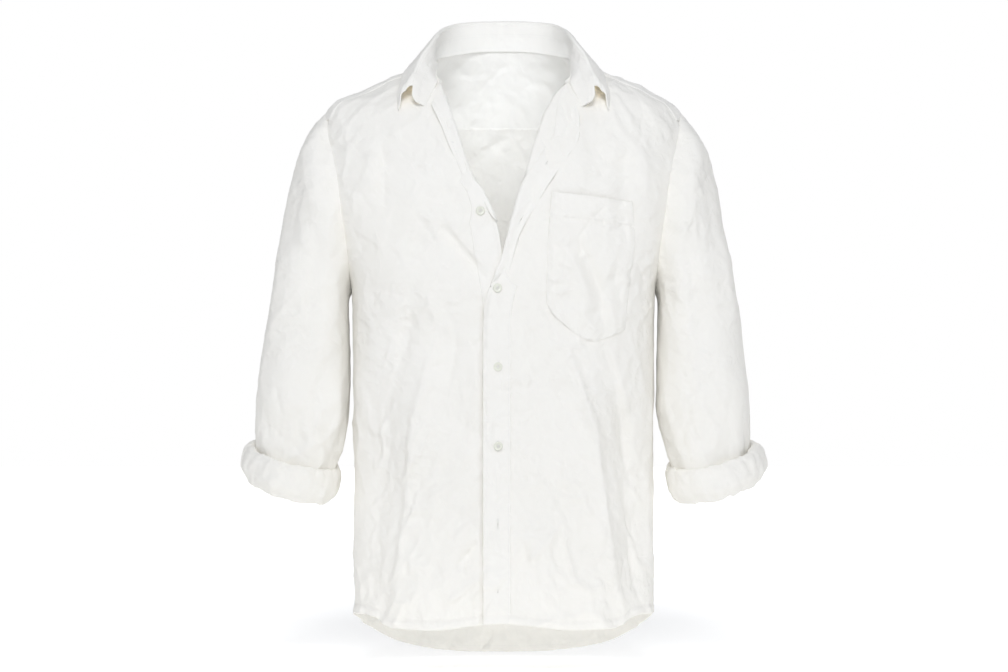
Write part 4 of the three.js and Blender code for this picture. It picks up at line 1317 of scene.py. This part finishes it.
# Distance across the front's cloth, and level; the first button hangs behind its turned-back band
BUTTONS = ((-12.5, -92), (18, -180), (11, -280), (18.2, -378.5), (18.2, -477))
BUTTONHOLES = ((-26, -112), (-14, -190), (11, -280), (18.2, -378.5), (18.2, -477), (18.2, -575), (18.2, -660))
HOLE_LENGTH = 13.0


def button_mesh(name, sides=40):
    """A shirt button: its section turned, with a fan of triangles in the middle of each face."""
    turns = [2 * math.pi * k / sides for k in range(sides)]
    points = [
        (BUTTON_RADIUS * r * math.cos(a), BUTTON_RADIUS * r * math.sin(a), z)
        for r, z in BUTTON_SECTION[1:-1] for a in turns
    ]
    low, high = len(points), len(points) + 1
    index = np.arange(low).reshape(-1, sides)
    points += [(0, 0, BUTTON_SECTION[0][1]), (0, 0, BUTTON_SECTION[-1][1])]
    fans = []
    for k in range(sides):
        n = (k + 1) % sides
        fans += [(low, n, k), (high, index[-1, k], index[-1, n])]
    faces = [quads_of(np.append(index, index[:, :1], 1)), np.array(fans)]
    return mesh_object(name, np.array(points), faces, SHELL_BUTTON)


def cut_holes(piece):
    """Four thread holes through a button."""
    cutters = []
    for k in range(4):
        a = math.pi / 4 + k * math.pi / 2
        place = (HOLE_CIRCLE * math.cos(a), HOLE_CIRCLE * math.sin(a), 0)
        bpy.ops.mesh.primitive_cylinder_add(vertices=16, radius=HOLE_RADIUS, depth=0.01, location=place)
        cutters.append(bpy.context.object)
    with bpy.context.temp_override(active_object=cutters[0], selected_editable_objects=cutters):
        bpy.ops.object.join()
    cut = piece.modifiers.new("holes", "BOOLEAN")
    cut.object, cut.solver = cutters[0], "EXACT"
    with bpy.context.temp_override(object=piece, active_object=piece):
        bpy.ops.object.modifier_apply(modifier="holes")
    bpy.data.objects.remove(cutters[0])


def strip_frame(key, across, level):
    """Point, normal and downward direction on a strip's shell near a place of the front's cloth."""
    hand = 1 if key == "buttonhole_placket" else -1
    target = fronts[hand].points(np.array([across]), level)[0]
    grid = grids[key][0]
    distance = np.linalg.norm(grid - target, axis=2)
    i, j = np.unravel_index(distance.argmin(), distance.shape)
    i, j = min(max(i, 3), grid.shape[0] - 4), min(max(j, 3), grid.shape[1] - 4)
    down = unit(grid[i + 3, j] - grid[i - 3, j])
    normal = unit(np.cross(grid[i, j + 3] - grid[i, j - 3], down))
    return grid[i, j], -normal if normal[1] > 0 else normal, down


def sewn_button(template, number, across, level):
    key = "button_band" if number <= 2 else "buttonhole_placket"
    spot, normal, down = strip_frame(key, across, level)
    way = -1 if number == 1 else 1
    facing = Vector(normal * way)
    place = spot + normal * (BAND_FOLD / 2 + 1.1 + 0.25) * way
    turn = facing.to_track_quat("Z", "Y").to_matrix().to_4x4() @ Matrix.Rotation(0.3 * number, 4, "Z")
    button = linked(f"button_{number}_shell", template.data.copy())
    button.matrix_world = Matrix.Translation(Vector(place / 1000)) @ turn
    declare(button, f"button_{number}")
    tie = Stitches()
    local = button.matrix_world.to_3x3()
    for dx in (-1.35, -0.7, 0.7, 1.35):
        ends = [Vector((dx, -1.5, 0.75)), Vector((dx, 0, 1.0)), Vector((dx, 1.5, 0.75))]
        path = np.array([list(local @ end) for end in ends]) + place
        tie.run(path, np.tile(np.array(facing), (3, 1)), length=3.0, gap=0.1, radius=0.36)
    if way < 0:  # the thread's mark on the face that shows
        sideways = unit(np.cross(normal, down))
        for shift in (-0.9, 0, 0.9):
            middle = spot + normal * (BAND_FOLD / 2 + 0.05) + sideways * shift
            path = np.array([middle + down * step for step in (-1.7, 0, 1.7)])
            tie.run(path, np.tile(normal, (3, 1)), length=3.2, gap=0.1, radius=0.42)
    tie.make(f"button_{number}_thread")


def buttonhole(name, across, level):
    """A worked slit: an oval of close stitches round a dark quad, painted shade in the opening."""
    spot, normal, down = strip_frame("buttonhole_placket", across, level)
    right = np.cross(normal, down)
    centre = spot + normal * (BAND_FOLD / 2 + 0.05)
    work = Stitches()
    for a in np.linspace(0, 2 * math.pi, 35)[:-1]:
        s, c = math.sin(a), math.cos(a)
        end = (1 if s > 0 else -1) * abs(s) ** 0.5
        point = centre + down * (HOLE_LENGTH / 2) * end + right * 0.9 * c
        way = unit(right * (1 if c > 0 else -1) + down * 0.2 * s) if abs(c) > 0.15 else unit(down * s)
        path = np.array([point - way * 0.75, point, point + way * 0.75])
        work.run(path, np.tile(normal, (3, 1)), length=1.5, gap=0.0)
    work.make(name)
    # a dark quad laid in the opening, painted shade
    reach, wide = down * (HOLE_LENGTH / 2 - 1.9), right * 0.3
    slit = np.array([centre - reach, centre + wide, centre + reach, centre - wide]) + normal * 0.12
    declare(mesh_object(f"{name}_slit", slit, [np.array([[0, 1, 2, 3]])], SLIT_SHADE))


template = button_mesh("button_template")
cut_holes(template)
for number, (across, level) in enumerate(BUTTONS, 1):
    sewn_button(template, number, across, level)
bpy.data.objects.remove(template)
for number, (across, level) in enumerate(BUTTONHOLES, 1):
    buttonhole(f"buttonhole_{number}", across, level)

# ---------------- floor and light

FLOOR = -766
CHEST = (0, 0, -0.36)


def paper_material():
    """Pale paper that glows, painted light: a little towards the camera's side and far behind, and in a ring
    round the shirt, with less glow just behind it as painted shadow.
    """
    paper = plain("paper", (0.9, 0.896, 0.886), 0.9)
    tree = paper.node_tree
    place = node(tree, "TexCoord").outputs["Object"]
    depth = node(tree, "SeparateXYZ", Vector=place).outputs["Y"]
    near = spread_out(tree, depth, -0.4, -0.12, 0.0, 0.425)
    far = spread_out(tree, depth, 0.6, 2.4, 0.0, 0.49)
    reach = node(tree, "VectorMath", place, (3.0, 1.0, 0), (0, -0.75, 0), operation="MULTIPLY_ADD")
    away = node(tree, "VectorMath", reach.outputs["Vector"], operation="LENGTH").outputs["Value"]
    ring = spread_out(tree, away, 0.55, 1.05, 0.0, 0.12)
    surface = tree.nodes["Principled BSDF"].inputs
    surface["Emission Color"].default_value = (1, 1, 1, 1)
    # the paper's emission: painted light, less of it just behind the shirt as painted shadow
    glow = math_node(tree, "ADD", math_node(tree, "ADD", near, far), ring)
    plug(tree, surface["Emission Strength"], glow)
    return paper


corners = [(-6000, -3000), (6000, -3000), (6000, 6000), (-6000, 6000)]
corners = np.array([(x, y, FLOOR) for x, y in corners], float)
mesh_object("floor", corners, [np.array([[0, 1, 2, 3]])], paper_material())

world = bpy.data.worlds.new("studio")
scene.world = world
world.use_nodes = True
sky = world.node_tree
direction = node(sky, "SeparateXYZ", Vector=node(sky, "TexCoord").outputs["Generated"])
behind = spread_out(sky, direction.outputs["Y"], 0.93, 0.975)
plug(sky, sky.nodes["Background"].inputs["Color"], mixed(sky, behind, (0.398, 0.407, 0.426), (1, 1, 1)))


def area_light(name, place, target, size, power, colour=(0.96, 0.98, 1.028)):
    data = bpy.data.lights.new(name, "AREA")
    data.shape = "RECTANGLE"
    data.size, data.size_y = size
    data.energy, data.color = power, colour
    light = linked(name, data)
    light.location = place
    light.rotation_euler = (Vector(target) - Vector(place)).to_track_quat("-Z", "Y").to_euler()
    return light


def leaf_glow(side):
    """A faint warm light between the collar's leaf and the shoulder."""
    data = bpy.data.lights.new("leaf_glow", "POINT")
    data.energy, data.shadow_soft_size, data.color = 0.0022, 0.003, (1.0, 0.86, 0.6)
    light = linked("leaf_glow", data)
    light.location = (side * 0.108, -0.055, -0.02)
    light.visible_camera = False


area_light("key", (-0.12, -3.3, 2.1), CHEST, (1.3, 1.0), 61)
area_light("fill", (0.7, -4.2, 0.5), CHEST, (2.0, 1.4), 18)
for side, _ in HANDS:
    area_light("side", (side * 2.6, -1.6, 0.1), CHEST, (1.2, 1.6), 0.9)
area_light("behind", (0.8, 3.2, 1.8), (0, 0, -0.4), (2.0, 1.4), 14)
for name, place, aim, size, power in (
    ("neck_fill", (0, -0.03, -0.07), (0, 1, 0.1), (0.14, 0.12), 0.072),
    ("hem_fill", (0, 0.0, -0.62), (0, 1, -0.9), (0.3, 0.1), 0.085),
):
    area_light(name, place, aim, size, power, (0.92, 0.98, 1.09)).visible_camera = False
for side, _ in HANDS:
    leaf_glow(side)
scene.view_settings.view_transform = "Standard"
